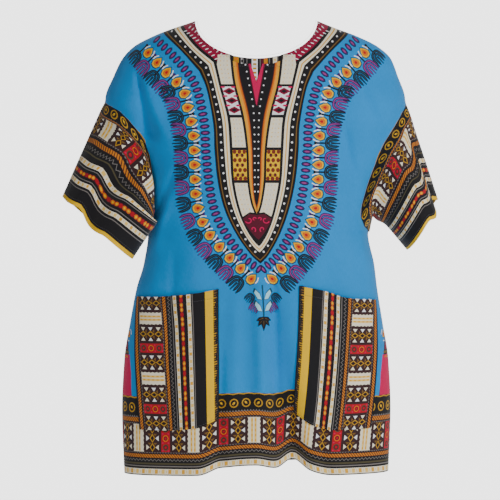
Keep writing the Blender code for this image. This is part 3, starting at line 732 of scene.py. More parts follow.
class Art:
    """Flat shapes in painting order. `lay` carries a drawing's own points to the cut."""

    def __init__(self):
        self.shapes = []
        self.lay = None

    def area(self, points, colour):
        """A filled shape."""
        points = dense(np.array(points, float))
        if self.lay is not None:
            points = self.lay(points)
        self.shapes.append((points, colour))

    def line(self, points, width, colour):
        """A stroke of even width."""
        self.area(ribbon(points, width), colour)

    def oval(self, centre, half, colour, turn=0.0, sides=8):
        """An ellipse with these half sizes, turned by an angle."""
        a = np.linspace(0, 2 * np.pi, sides, endpoint=False)
        points = np.stack([half[0] * np.cos(a), half[1] * np.sin(a)], axis=1)
        self.area(turned(points, centre, turn), colour)

    def ring(self, centre, half, width, colour, inner, turn=0.0, sides=10):
        """An ellipse with a rim and a fill."""
        self.oval(centre, half, colour, turn, sides)
        self.oval(centre, (half[0] - width, half[1] - width), inner, turn, sides)

    def box(self, left, right, top, low, colour):
        """An upright rectangle."""
        self.area(((left, top), (right, top), (right, low), (left, low)), colour)

    def diamond(self, centre, half, colour):
        """A diamond with these half sizes."""
        x, y = centre
        wide, tall = half
        self.area(((x, y - tall), (x + wide, y), (x, y + tall), (x - wide, y)), colour)


def dense(points, step=8.0):
    """A closed outline with its long edges cut into shorter ones."""
    out = []
    for a, b in zip(points, np.roll(points, -1, axis=0)):
        count = max(1, int(np.ceil(np.linalg.norm(b - a) / step)))
        out += [a + (b - a) * i / count for i in range(count)]
    return np.array(out)


def turned(points, centre, angle):
    """Points turned by an angle and moved to a centre."""
    c, s = np.cos(angle), np.sin(angle)
    points = np.asarray(points, float)
    x, y = points[:, 0], points[:, 1]
    return np.stack([x * c - y * s, x * s + y * c], axis=1) + centre


def sides_of(points):
    """The direction square to a path, at each of its points."""
    run = np.gradient(np.asarray(points, float), axis=0)
    run /= np.maximum(np.linalg.norm(run, axis=1, keepdims=True), 1e-9)
    return np.stack([-run[:, 1], run[:, 0]], axis=1)


def ribbon(points, width):
    """A closed outline of this width round a path."""
    points = np.array(points, float)
    side = sides_of(points) * width / 2
    return np.vstack([points + side, (points - side)[::-1]])


def widened(path, half):
    """A closed outline round a path, with the half width at each of its points."""
    side = sides_of(path) * half
    return np.vstack([path + side, (path - side)[::-1]])


def along_curve(points, pitch):
    """Evenly spaced places on a smooth path, with the direction square to it."""
    fine = smooth_path(points, 240)
    step = np.linalg.norm(np.diff(fine, axis=0), axis=1)
    length = np.concatenate([[0.0], np.cumsum(step)])
    at = np.arange(pitch / 2, length[-1], pitch)
    side = sides_of(fine)
    spots = np.stack([np.interp(at, length, fine[:, k]) for k in range(2)], axis=1)
    facing = np.stack([np.interp(at, length, side[:, k]) for k in range(2)], axis=1)
    return spots, np.arctan2(facing[:, 1], facing[:, 0])


# ---------------------------------------------------------------- borders

# Each kind of band is drawn from `start` to `end` down the border, along the whole of its length.


def draw_bands(art, bands, length, phase=0.0):
    """A border along s, from its top edge at t = 0."""
    for start, end, kind, colour in bands:
        BAND_KINDS[kind](art, start, end, colour, length, phase)


def spots(length, pitch, phase=0.0):
    """Evenly spaced places along a border."""
    return np.arange((phase % pitch) - pitch, length + pitch, pitch)


def plain_band(art, start, end, colour, length, phase):
    """One colour."""
    art.box(0, length, start, end, colour)


def wave_band(art, start, end, colour, length, phase):
    """A wavy line."""
    step = 9.0
    s = np.arange(0, length + step, step)
    t = (start + end) / 2 + np.where(np.arange(len(s)) % 2 == 0, 0.7, -0.7)
    art.line(np.stack([s, t], axis=1), (end - start) * 0.7, colour)


def ring_band(art, start, end, colour, length, phase):
    """Gold rings, each closed round a bud that leans to one side."""
    middle, size = (start + end) / 2, (end - start) / 2 * 0.78
    for i, s in enumerate(spots(length, 2.55 * size + 1.0)):
        art.ring((s, middle), (size, size * 1.05), 2.2, colour, "black", sides=12)
        lean = 1.0 if i % 2 else -1.0
        art.area(turned(RING_BUD, (s, middle), 0.9 * lean), colour)
        art.oval((s - lean * 0.5, middle - 0.6), (1.5, 1.7), "yellow", sides=6)


def dash_band(art, start, end, colour, length, phase):
    """A row of small triangles."""
    for s in spots(length, 5.0):
        art.area(((s, start), (s + 2.2, end), (s - 2.2, end)), colour)


def rope_band(art, start, end, colour, length, phase):
    """A twisted orange rope on brown."""
    art.box(0, length, start, end, "dark_brown")
    slant = (end - start) * 0.8
    inset = 0.6
    wide = 3.3
    top, low = start + inset, end - inset
    for s in spots(length, 5.0):
        art.area(((s, top), (s + wide, top), (s + wide + slant, low), (s + slant, low)), colour)


def zigzag_band(art, start, end, colour, length, phase):
    """A zigzag line."""
    step = 3.6
    s = np.arange(0, length + step, step)
    t = np.where(np.arange(len(s)) % 2 == 0, start + 0.8, end - 0.8)
    art.line(np.stack([s, t], axis=1), 1.3, colour)


def strip_band(art, start, end, colour, length, phase):
    """A cream strip with soft gold bars."""
    art.box(0, length, start, end, colour)
    for i, s in enumerate(spots(length, 12.5, phase)):
        inset = (end - start) * 0.14
        art.box(s, s + 5.5, start + inset, end - inset, "pale_gold" if i % 2 else "light_gold")
        art.box(s + 8.4, s + 9.6, start + 2 * inset, end - 2 * inset, "light_gold")


def bead_band(art, start, end, colour, length, phase):
    """Orange beads on red."""
    art.box(0, length, start, end, "maroon")
    middle, half = (start + end) / 2, (end - start) / 2
    for i, s in enumerate(spots(length, 8.5, phase)):
        art.oval((s, middle), (4.4, half * 0.86), "red" if i % 3 == 2 else colour)
        if i % 3 != 2:
            art.oval((s, middle), (2.2, half * 0.42), "yellow", sides=6)


def comb_band(art, start, end, colour, length, phase):
    """A fringe of uneven gold teeth."""
    chance = np.random.default_rng(5)
    art.box(0, length, (start + end) / 2 + 1, end, colour)
    for s in spots(length, 4.2):
        reach = start + chance.uniform(0.0, 3.4)
        tooth = ((s, end), (s + 0.5, reach), (s + 2.4, reach + 0.6), (s + 3.0, end))
        art.area(tooth, "ochre" if chance.random() < 0.5 else colour)


def block_band(art, start, end, colour, length, phase):
    """Blocks in turn: cream and gold, diamonds, red rings, diamonds."""
    art.box(0, length, start, end, "dark_brown")
    dash_band(art, start, start + 1.6, "grey", length, 0)
    dash_band(art, end, end - 1.6, "grey", length, 0)
    s = -phase
    i = 0
    while s < length:
        kind, width = BLOCKS[i % len(BLOCKS)]
        if s + width > 0:
            BLOCK_KINDS[kind](art, s + BLOCK_GAP / 2, s + width - BLOCK_GAP / 2, start + 2.4, end - 2.4)
        s += width + BLOCK_GAP
        i += 1


def white_gold_block(art, left, right, top, low):
    """Cream cloth with two soft gold bands and scalloped edges."""
    count = 6
    edge = np.linspace(top, low, 2 * count + 1)
    bite = np.where(np.arange(2 * count + 1) % 2 == 0, 0.0, 1.3)
    left_edge = np.stack([left + bite, edge], axis=1)
    right_edge = np.stack([right - bite, edge], axis=1)
    art.area(np.vstack([left_edge, right_edge[::-1]]), "cream")
    wide = right - left
    for at in (0.33, 0.60):
        s = left + wide * at
        art.box(s - 1.6, s + 2.0, top + 1, low - 1, "light_gold")
        for t in np.arange(top + 3, low - 4, 9.0):
            art.box(s - 1.0, s + 1.4, t, t + 4.5, "pale_gold")


def diamond_block(art, left, right, top, low):
    """A gold lattice of diamonds with white points at both edges."""
    middle = (left + right) / 2
    count = 3
    tall = (low - top) / count
    half = (right - left) * 0.27
    for i in range(count):
        t = top + tall * (i + 0.5)
        for side in (-1, 1):
            for colour, corners in (
                ("white" if i % 2 else "cream", ((1.75, -0.30), (1.75, 0.30), (0.85, 0))),
                ("ochre", ((0.22, -0.5), (1.3, -0.5), (0.76, -0.24))),
            ):
                art.area([(middle + side * half * x, t + tall * y) for x, y in corners], colour)
        art.diamond((middle, t), (half * 0.8, tall * 0.5), "gold")
        art.diamond((middle, t), (half * 0.5, tall * 0.34), "dark_brown")
        art.oval((middle, t), (1.5, 2.2), "black", sides=6)


def red_ring_block(art, left, right, top, low):
    """Red cloth with two rings and pink specks."""
    art.box(left, right, top, low, "red")
    middle = (left + right) / 2
    size = (right - left) * 0.34
    count = 3
    tall = (low - top) / count
    for i in range(count):
        t = top + tall * (i + 0.5)
        art.ring((middle, t), (size, size), 1.5, "orange" if i % 2 else "olive", "maroon", sides=10)
        art.oval((middle, t), (size * 0.45, size * 0.45), "red", sides=6)
    for i in range(count + 1):
        t = min(max(top + tall * i, top + 2), low - 2)
        for side in (-1, 1):
            art.oval((middle + side * size * 0.95, t), (1.7, 1.2), "pink", sides=6)


BAND_KINDS = {
    "plain": plain_band,
    "wave": wave_band,
    "rings": ring_band,
    "dashes": dash_band,
    "rope": rope_band,
    "zigzag": zigzag_band,
    "strip": strip_band,
    "beads": bead_band,
    "comb": comb_band,
    "blocks": block_band,
}
BLOCK_KINDS = {"white_gold": white_gold_block, "diamonds": diamond_block, "red_rings": red_ring_block}


# ---------------------------------------------------------------- the neck motif


def both_sides(art, lean):
    """Runs its loop twice, with the drawing's points laid on one half of the motif and the other."""
    for side in (1.0, -1.0):

        def lay(points, side=side):
            return points * (side, 1.0) + np.stack([lean(points[:, 1]), 0 * points[:, 1]], axis=1)

        art.lay = lay
        yield
    art.lay = None


def between(outer, inner, share):
    """A path this share of the way from one edge to another."""
    return outer + (inner - outer) * share


def draw_banding(art, outer, inner, bands):
    """Bands that run between two edges, given as shares of the way across."""
    for start, end, colour in bands:
        band = [between(outer, inner, start), between(outer, inner, end)[::-1]]
        art.area(np.vstack(band), colour)


def draw_yoke(art, lean):
    """The banded neck motif, its panels and its orange middle."""
    outer = np.vstack([smooth_path(YOKE_SHOULDER, 12)[:-1], smooth_path(YOKE_SIDE, 52)])
    inner = np.vstack([smooth_path(BAND_SHOULDER, 12)[:-1], smooth_path(BAND_SIDE, 52)])
    above = ((0, -30), (150, -30))
    for _ in both_sides(art, lean):
        art.area(np.vstack([outer, above]), "black")
        draw_banding(art, outer, inner, YOKE_BANDS)
        dots, _ = along_curve(between(outer, inner, YOKE_DOTS_AT), 13.0)
        for spot in dots:
            art.oval(spot, (1.9, 1.9), "white", sides=6)
        art.area(np.vstack([between(outer, inner, 1.0), above]), "black")
        draw_collar(art, inner)
        for top, low, kind in YOKE_BLOCKS:
            draw_yoke_block(art, top, low, kind)
        draw_heart(art)
        draw_middle(art)


def draw_collar(art, inner):
    """Crimson cloth with white flecks between the neck and the banding."""
    edge = inner[:13] + (-3.5, -1.0)
    art.area(np.vstack([edge[:12], ((60, 64), (40, 60), (40, -20), (150, -20))]), "crimson")
    for t in np.linspace(0.06, 0.94, 11):
        spot = np.array((122 - 62 * t, 12 + 57 * t - 14 * t * (1 - t)))
        for k in range(3):
            centre = spot + np.array((-7.6, -7.6)) * (k - 0.6)
            art.oval(centre, (3.6, 1.0), "white", turn=0.35 + 0.5 * (k % 2), sides=6)


def draw_yoke_block(art, top, low, kind):
    """One block of the panel beside the middle, between the banding and the middle."""
    space = 2.6
    drops = np.linspace(top, low, 7)
    outer = smooth_path(BAND_SIDE, 120)
    middle = smooth_path(MIDDLE, 120)
    left = np.interp(drops, middle[:, 1], middle[:, 0]) + space
    right = np.interp(drops, outer[:, 1], outer[:, 0]) - space
    if top < 100:
        right = np.where(drops < 75, 66.0, right)
    right = np.maximum(right, left + 0.5)
    ground = {"cream_dots": "cream", "ikat": "white", "lattice": "yellow"}[kind]
    left_edge = np.stack([left, drops], axis=1)
    right_edge = np.stack([right, drops], axis=1)
    art.area(np.vstack([left_edge, right_edge[::-1]]), ground)

    def spot(across, down):
        t = drops[0] + (drops[-1] - drops[0]) * down
        return np.interp(t, drops, left) * (1 - across) + np.interp(t, drops, right) * across, t

    if kind == "cream_dots":
        for i in range(7):
            for across, colour in ((0.25, "light_gold"), (0.5, "pale_grey"), (0.75, "light_gold")):
                art.oval(spot(across, (i + 0.5) / 7), (1.2, 1.5), colour, sides=4)
    if kind == "ikat":
        for i in range(3):
            down = (i + 0.5) / 3
            for wide, tall, colour in ((11.5, 6.0, "crimson"), (7.5, 3.4, "maroon"), (4.0, 2.8, "black")):
                diamond = ((-wide, 0), (0, -tall), (wide, 0), (0, tall))
                art.area(turned(diamond, spot(0.5, down), 0.0), colour)
            for across in (0.06, 0.94):
                art.oval(spot(across, down - 0.16 if i else 0.02), (4.2, 1.8), "pink", sides=6)
    if kind == "lattice":
        for i in range(4):
            for across in (0.14, 0.5, 0.86):
                down = min(max(i / 3, 0.05), 0.95)
                art.oval(spot(across, down), (3.4, 4.0), "red_brown", sides=6)
        for i in range(3):
            for across in (0.32, 0.68):
                art.oval(spot(across, (i + 0.5) / 3), (3.0, 3.4), "maroon", sides=6)
            diamond = ((-3.5, 0), (0, -1.2), (3.5, 0), (0, 1.2))
            art.area(turned(diamond, spot(0.5, (i + 0.5) / 3), 0.0), "gold")


def draw_heart(art):
    """The maroon tip with crimson scrolls."""
    art.area(((-1, 331), (12, 329), (26, 338), (23, 348), (14, 363), (5, 375), (-1, 380)), "black")
    art.area(((-1, 334), (12, 332), (24, 340), (21, 348), (13, 361), (4, 372), (-1, 376)), "maroon")
    for centre, size, start in (((14, 342), 6.6, 0.4), ((5, 341), 3.6, 3.4), ((8, 358), 5.0, 2.2)):
        a = np.linspace(start, start + 4.6, 12)
        r = size * np.linspace(1.0, 0.25, 12)
        art.line(np.stack([centre[0] + r * np.cos(a), centre[1] + r * np.sin(a)], axis=1), 1.9, "pink")


def draw_middle(art):
    """Orange bands that narrow to a tip, dark cloth with white dots, and the pink point."""
    middle = smooth_path(MIDDLE, 40)
    inside_edge = smooth_path(MIDDLE_IN, 40)
    art.area(np.vstack([middle, ((-1, 334), (-1, 20), (60, 20))]), "black")
    draw_banding(art, middle, inside_edge, MIDDLE_BANDS)
    art.area(np.vstack([inside_edge, ((-1, 318), (-1, 20), (40, 20))]), "black")
    art.area(((-1, 20), (17, 20), (16, 72), (1.2, 146), (-1, 150)), "pink")
    art.line(((16.5, 60), (9.5, 104), (1.5, 146)), 1.5, "maroon")
    dots, _ = along_curve(((22, 62), (15, 100), (6.5, 146), (3.6, 190), (2.8, 296)), 12.0)
    for spot in dots:
        art.oval(spot, (1.5, 1.5), "white", sides=6)


def draw_petal(art, spot, angle):
    """A purple petal with a pale heart."""
    art.oval(spot, (8.8, 4.2), "black", angle, sides=8)
    art.oval(spot, (7.4, 3.0), "purple", angle, sides=8)
    art.oval(spot, (4.8, 1.5), "pinkish", angle, sides=6)


def draw_tear(art, spot, angle, size=1.0):
    """An orange teardrop with a yellow rim, and white strokes beside it."""
    for scale, colour in ((1.22, "teal"), (1.0, "yellow"), (0.74, "orange"), (0.30, "red")):
        art.area(turned(TEAR_SHAPE * scale * size, spot, angle), colour)
    for side in (1, -1):
        art.area(turned([(x, y * side) for x, y in TEAR_STROKE], spot, angle), "white")


def draw_comb(art, spot, angle, dark, size=1.0, stem=True):
    """A hand of five pointed fingers, pointing away from the motif."""
    line, fill = ("black", "teal") if dark else ("purple", "pinkish")

    def at(points):
        return turned(np.asarray(points, float) * size, spot, angle)

    if stem:
        art.line(at(((-30, 0), (-16, 0), (-7, 0))), 2.8, "black")
        art.oval(at(((-30, 0),))[0], (3.0, 3.0), line, sides=6)
    for reach, back, width in ((10.8, -11.0, 5.2), (5.3, -5.6, 4.4)):
        bend = ((14, reach), (3, reach), (back * 0.75, reach * 0.7), (back, 0))
        arch = smooth_path(bend + tuple((x, -y) for x, y in bend[-2::-1]), 18)
        art.area(at(horned(arch, width)), line)
        art.area(at(horned(arch[1:-1], 1.5)), fill)
    middle = np.array(((-2.0, 0.0), (6.0, 0.0), (16.0, 0.0)))
    art.area(at(tapered(middle, 4.4)), line)
    art.area(at(tapered(middle * (0.8, 1.0), 1.2)), fill)


def horned(path, width):
    """A stroke that comes to a point at both of its ends."""
    t = np.linspace(0, 1, len(path))
    return widened(path, width / 2 * np.minimum(1.0, 0.25 + 7.0 * t * (1 - t))[:, None])


def tapered(path, width):
    """A stroke that narrows to its end."""
    return widened(path, width / 2 * np.linspace(1.0, 0.35, len(path))[:, None])


def draw_rings(art, lean):
    """The rings round the motif: combs outermost, then teardrops, then petals."""
    for _ in both_sides(art, lean):
        spots_at, angles = along_curve(TEARS, TEAR_PITCH)
        steps = np.vstack([2 * spots_at[0] - spots_at[1], spots_at])
        for i, angle in enumerate(angles):
            # Each comb's stem runs between two teardrops.
            outward = -np.array((np.cos(angle), np.sin(angle)))
            spot = (steps[i] + steps[i + 1]) / 2 + outward * COMB_OUTWARD
            draw_comb(art, spot, angle + np.pi, dark=i % 2 == 0)
        for spot, angle in zip(spots_at, angles):
            draw_tear(art, spot, angle, 1.12)
        spots_at, angles = along_curve(PETALS, PETAL_PITCH)
        for spot, angle in zip(spots_at, angles):
            draw_petal(art, spot, angle)
        for spot, angle, dark in SMALL_COMBS:
            draw_comb(art, spot, angle, dark, size=0.62, stem=False)
        draw_leaf_pair(art)
        for angle, reach in ((1.57, 23), (0.95, 18), (0.35, 14)):
            leaf = ((-1, -2.2), (reach * 0.5, -4.2), (reach, 0), (reach * 0.5, 4.2), (-1, 2.2))
            art.area(turned(leaf, PALMETTE_FOOT, angle), "black")
            vein = ((1, -0.7), (reach * 0.75, 0), (1, 0.7))
            art.area(turned(vein, PALMETTE_FOOT, angle), "ochre")


def draw_leaf_pair(art):
    """Pale leaves and a stem above the palmette."""
    art.box(-1.3, 1.3, 452, 508, "teal")
    for drop in (470, 490):
        leaf = np.array(((2, 6), (5, -3), (11, -9), (13, -4), (8, 5)))
        art.area(leaf * 1.4 + (-1.4, drop - 0.8), "teal")
        art.area(leaf * 1.1 + (0.2, drop), "light_blue")


def draw_side_motifs(art):
    """The edge of the neighbouring motif, cut through by the side seams."""
    for side in (1.0, -1.0):
        art.lay = lambda points, side=side: points * (side, 1.0)
        draw_tear(art, (266, 518), 3.1, 0.9)
        draw_tear(art, (249, 541), 2.6, 0.8)
        art.area(((300, 536), (262, 536), (246, 556), (233, 590), (226, 649), (300, 649)), "black")
        art.area(((300, 539), (263, 539), (249, 558), (246, 566), (300, 566)), "crimson")
        for s in (254, 264, 274):
            art.oval((s, 552), (1.4, 9.0), "purple", sides=6)
        art.area(((300, 568), (240, 568), (239, 572), (300, 572)), "ochre")
        art.area(((300, 574), (236, 574), (230, 604), (228, 646), (300, 646)), "pink")
        art.area(((300, 576), (244, 576), (241, 579), (300, 579)), "orange")
    art.lay = None


# ---------------------------------------------------------------- cloth meshes


def settings():
    """The sizes of the cloth."""
    return bpy.context.scene.dashiki_cloth


def colour_table():
    """The print's colours as an array, and each name's row in it."""
    colours = bpy.context.scene.dashiki_colours
    values = np.array([tuple(getattr(colours, name)) + (1.0,) for name in COLOURS])
    return values, {name: i for i, name in enumerate(COLOURS)}


def mesh_cut(outline, art, ground, cell):
    """Triangles over a flat outline that follow the art's edges, with a colour name for each."""
    low, high = outline.min(axis=0), outline.max(axis=0)
    shapes = [
        (points, colour)
        for points, colour in art.shapes
        if np.all(points.min(axis=0) < high) and np.all(points.max(axis=0) > low)
    ]
    x = np.arange(low[0] + cell / 2, high[0], cell)
    y = np.arange(low[1] + cell / 2, high[1], cell * 0.9)
    lattice = np.array([(a + cell / 2 * (j % 2), b) for j, b in enumerate(y) for a in x])
    lattice = lattice[inside(lattice, outline)]
    loops = [outline] + [points for points, _ in shapes]
    edges = []
    first = 0
    for loop in loops:
        edges += [(first + i, first + (i + 1) % len(loop)) for i in range(len(loop))]
        first += len(loop)
    points = np.vstack([*loops, lattice])
    found = delaunay_2d_cdt([Vector(p) for p in points], edges, [], 0, 0.01, False)
    verts = np.array([tuple(v) for v in found[0]])
    faces = np.array([tuple(f) for f in found[2]])
    a, b, c = (verts[faces[:, k]] for k in range(3))
    to_b, to_c = b - a, c - a
    doubled = np.abs(to_b[:, 0] * to_c[:, 1] - to_b[:, 1] * to_c[:, 0])
    middle = (a + b + c) / 3
    longest = np.max([np.linalg.norm(run, axis=1) for run in (b - a, c - b, a - c)], axis=0)
    keep = inside(middle, outline) & (doubled / longest > LEAST_HEIGHT)
    faces, middle = faces[keep], middle[keep]
    names = [ground] + [colour for _, colour in shapes]
    top = np.zeros(len(faces), int)
    for i, (shape, _) in enumerate(shapes, 1):
        near = np.all((middle >= shape.min(axis=0)) & (middle <= shape.max(axis=0)), axis=1)
        near = np.flatnonzero(near)
        top[near[inside(middle[near], shape)]] = i
    used, index = np.unique(faces, return_inverse=True)
    return verts[used], index.reshape(-1, 3), [names[i] for i in top]


def worn(cut, face, out=0.0):
    """Points of a flat cut in millimetres, on the worn shirt."""
    parts = []
    out = np.broadcast_to(out, len(cut))
    for i in range(0, len(cut), 4000):
        part = cut[i : i + 4000] * MM
        parts.append(place(part[:, 0], part[:, 1], face, out[i : i + 4000]))
    return np.vstack(parts)


def corner_normals(points, faces):
    """Smooth normals from the faces round each point."""
    a, b, c = (points[faces[:, k]] for k in range(3))
    square = np.cross(b - a, c - a)
    total = np.zeros_like(points)
    for k in range(3):
        np.add.at(total, faces[:, k], square)
    return total / np.maximum(np.linalg.norm(total, axis=1, keepdims=True), 1e-12)


def cloth(name, outer, faces, paint, cut, thick, outward, slot_material):
    """A thin shell of cloth: its outer side, its inner side and its raw edges."""
    points = np.asarray(outer)
    a, b, c = (points[faces[:, k]] for k in range(3))
    looks = (np.cross(b - a, c - a) * outward(points)[faces[:, 0]]).sum()
    if looks < 0:
        faces = faces[:, ::-1]
    normals = corner_normals(points, faces)
    inner = points - normals * np.broadcast_to(thick, len(points))[:, None]
    count = len(points)
    edges = np.concatenate([faces[:, [0, 1]], faces[:, [1, 2]], faces[:, [2, 0]]])
    owner = np.tile(np.arange(len(faces)), 3)
    key = np.sort(edges, axis=1)
    _, first, times = np.unique(key, axis=0, return_index=True, return_counts=True)
    rim_edges, rim_owner = edges[first[times == 1]], owner[first[times == 1]]
    rim_faces = np.stack([rim_edges[:, 1], rim_edges[:, 0], rim_edges[:, 0] + count], axis=1)
    rim_more = np.stack([rim_edges[:, 1], rim_edges[:, 0] + count, rim_edges[:, 1] + count], axis=1)
    back = faces[:, ::-1] + count
    all_faces = np.vstack([faces, back, rim_faces, rim_more])
    mesh = bpy.data.meshes.new(name)
    mesh.from_pydata(np.vstack([points, inner]).tolist(), [], all_faces.tolist())
    table_of, row = colour_table()
    tone = np.array([row[colour] for colour in paint])
    outer_colour = table_of[tone]
    reverse = outer_colour * REVERSE_SCALE + REVERSE_ADD
    rim_colour = outer_colour[rim_owner] * RAW_EDGE_SCALE
    tones = np.vstack([outer_colour, reverse, rim_colour, rim_colour])
    layer = mesh.color_attributes.new("print", "FLOAT_COLOR", "CORNER")
    layer.data.foreach_set("color", np.repeat(tones, 3, axis=0).ravel())
    flat_points = np.vstack([cut, cut]) * MM
    corners = all_faces.ravel()
    weave = mesh.uv_layers.new(name="cut")
    weave.data.foreach_set("uv", flat_points[corners].ravel())
    low, high = cut.min(axis=0), cut.max(axis=0)
    unit = (cut - low) / (high - low) * BAKE_SHARE + BAKE_MARGIN
    both = np.vstack([unit, unit + (0.5, 0.0)])
    bake = mesh.uv_layers.new(name="OFBake")
    bake.data.foreach_set("uv", both[corners].ravel())
    mesh.uv_layers.active = weave
    weave.active_render = True
    mesh.shade_smooth()
    mesh.set_sharp_from_angle(angle=np.radians(SHARP_ANGLE))
    mesh.materials.append(slot_material)
    return add(name, mesh)


def face_outward(face):
    """Which way the cloth of a panel looks, for turning its faces."""
    return lambda points: np.tile((0.0, FACES[face]["sign"], 0.0), (len(points), 1))


def panel_cut(face):
    """A body panel's outline in millimetres, with short steps along its edges."""
    return dense(body_outline(face) / MM, step=9.0)


def edge_thickness(cut, edges):
    """The cloth's thickness, doubled where an edge is turned in."""
    cloth_settings = settings()
    far = np.full(len(cut), 1e3)
    for edge in edges:
        for i in range(0, len(edge) - 1):
            run = edge[i + 1] - edge[i]
            t = np.clip(((cut - edge[i]) * run).sum(axis=1) / max((run * run).sum(), 1e-9), 0.0, 1.0)
            far = np.minimum(far, np.linalg.norm(cut - edge[i] - t[:, None] * run, axis=1))
    turned_in = ease((cloth_settings.hem_width / MM - far) / 3.0)
    return cloth_settings.thickness * (1 + 0.9 * turned_in)


def straight(drop, left, right):
    """A level line."""
    return np.array(((left, drop), (right, drop)), float)


def build_panel(face):
    """The front or back panel with its print."""
    # The front's motif leans towards its tip.
    most = 12.5 if face == "front" else 0.0

    def lean(drop):
        return most * ease((drop - 300) / 220)

    outline = panel_cut(face)
    art = Art()
    draw_rings(art, lean)
    draw_yoke(art, lean)
    draw_side_motifs(art)
    art.lay = lambda points: points + (-HEM_PRINT_LENGTH / 2, HEM_DROP / MM - HEM_PRINT_HEIGHT)
    draw_bands(art, HEM_BANDS, HEM_PRINT_LENGTH, phase=18.0)
    art.lay = None
    cut, faces, paint = mesh_cut(outline, art, "ground", settings().cell / MM)
    outer = worn(cut, face)
    neck = neck_edge(face) / MM
    hem = straight(HEM_DROP / MM, -300, 300)
    thick = edge_thickness(cut, (neck, hem))
    piece = cloth(f"{face}_cloth", outer, faces, paint, cut, thick, face_outward(face), cotton("panel_print"))
    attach(piece, "root")
    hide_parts(f"{face}_panel")


def pocket_lay(side):
    """Carries a pocket's own print, turned on its side, to the front's cut."""
    count = 30
    top = smooth_path(flat(POCKETS[side]["top"], "front"), count) / MM
    low = smooth_path(flat(POCKETS[side]["low"], "front"), count) / MM
    if side == "left":
        top, low = top[::-1], low[::-1]
    share = np.linspace(0.0, 1.0, count)

    def lay(points):
        down = np.clip(points[:, 0] / POCKET_LENGTH, -0.2, 1.2)
        across = points[:, 1] / POCKET_WIDTH
        a = np.stack([np.interp(across, share, top[:, k]) for k in range(2)], axis=1)
        b = np.stack([np.interp(across, share, low[:, k]) for k in range(2)], axis=1)
        beyond = np.maximum(across - 1, 0)[:, None] * (top[-1] - top[-2]) * (count - 1)
        return a + (b - a) * down[:, None] + beyond

    return lay


def build_pocket(side):
    """A patch pocket in border print, its opening a little proud of the front."""
    outline = dense(pocket_outline(side) / MM, step=6.0)
    art = Art()
    art.lay = pocket_lay(side)
    draw_bands(art, POCKET_BANDS, POCKET_LENGTH, phase=77.0)
    art.lay = None
    cut, faces, paint = mesh_cut(outline, art, "black", settings().cell / MM)
    outer = worn(cut, "front", pocket_lift(cut, side))
    top = smooth_path(flat(POCKETS[side]["top"], "front"), 9) / MM
    thick = edge_thickness(cut, (top,)) * 0.85
    outward = face_outward("front")
    border = cotton("border_print")
    piece = cloth(f"pocket_{side}_cloth", outer, faces, paint, cut, thick, outward, border)
    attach(piece, "root")
    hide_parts(f"pocket_{side}")


def pocket_lift(cut, side):
    """How far a pocket stands off the front: more along its open top edge."""
    top = smooth_path(flat(POCKETS[side]["top"], "front"), 30) / MM
    level = np.interp(cut[:, 0], top[:, 0], top[:, 1])
    share = np.clip((cut[:, 0] - top[0, 0]) / (top[-1, 0] - top[0, 0]), 0.0, 1.0)
    gape = np.sin(np.pi * share) ** 0.8 * ease(1 - (cut[:, 1] - level) / 60)
    return settings().pocket_lift + settings().pocket_gape * gape


def build_facing():
    """The strip of border print behind the neck slit."""
    x = np.linspace(FACING_HALF_WIDTH - GAP, -FACING_HALF_WIDTH + GAP, 15)
    top = flat([(a, neck_drop(a)) for a in x], "front") / MM
    low = flat([(a, FACING_LOW_DROP) for a in x[::-1]], "front") / MM
    outline = dense(np.vstack([top, low]), step=5.0)
    art = Art()
    stripes = (
        (-43, 43, "black"),
        (-39, -30, "gold"),
        (-27, -25.5, "grey"),
        (-23, -21.5, "grey"),
        (-17, -15.5, "grey"),
        (-8, 2, "white"),
        (5.5, 7, "grey"),
        (8, 12, "maroon"),
        (12.5, 19, "gold"),
        (21, 23, "grey"),
        (28, 35, "cream"),
        (36, 37, "grey"),
    )
    for left, right, colour in stripes:
        art.box(left, right, 40, 140, colour)
    for drop in np.arange(46, 130, 7.5):
        art.oval((-34.5, drop), (3.2, 2.6), "orange", sides=8)
        art.oval((-25, drop), (1.5, 1.5), "pale_grey", sides=6)
        art.box(-6, 0, drop, drop + 3.4, "gold")
        art.oval((15.7, drop), (2.8, 3.0), "orange", sides=8)
        art.box(29.5, 33.5, drop, drop + 3.4, "light_gold")
    cut, faces, paint = mesh_cut(outline, art, "black", 4.0)
    outer = worn(cut, "front", -settings().thickness - FACING_BEHIND)
    outward = face_outward("front")
    border = cotton("border_print")
    piece = cloth("facing_cloth", outer, faces, paint, cut, FACING_THICKNESS, outward, border)
    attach(piece, "root")
    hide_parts("neck_facing")


# ---------------------------------------------------------------- sleeves


def sleeve_rows(side):
    """The sleeve's rings as one array, and how far along the sleeve each of them is."""
    front, back = seam(side, "front"), seam(side, "back")
    ring = np.vstack([place(*front.T, "front"), place(*back[::-1][1:-1].T, "back")])
    away = np.vstack([normal(*front.T, "front"), normal(*back[::-1][1:-1].T, "back")])
    run = np.roll(ring, -1, axis=0) - np.roll(ring, 1, axis=0)
    off = np.cross(run, away)
    off = off / np.linalg.norm(off, axis=1, keepdims=True)
    sign = -1.0 if side == "left" else 1.0
    if off[:, 0].sum() * sign < 0:
        off = -off
    ring = ring - SEAM_OVERLAP * off
    rows = [ring, ring + SEAM_LIP * off]
    share = [0.0, 0.03]
    for i in range(1, SLEEVE_ROWS + 1):
        at = i / SLEEVE_ROWS
        free = ease(at / SLEEVE_FREE)
        shape = ring + (sleeve_ring(side, at) - sleeve_ring(side, 0.0)) * (1 - free)
        rows.append(clear_of_body(shape * (1 - free) + sleeve_ring(side, at) * free))
        share.append(at)
    return np.array(rows), np.array(share)


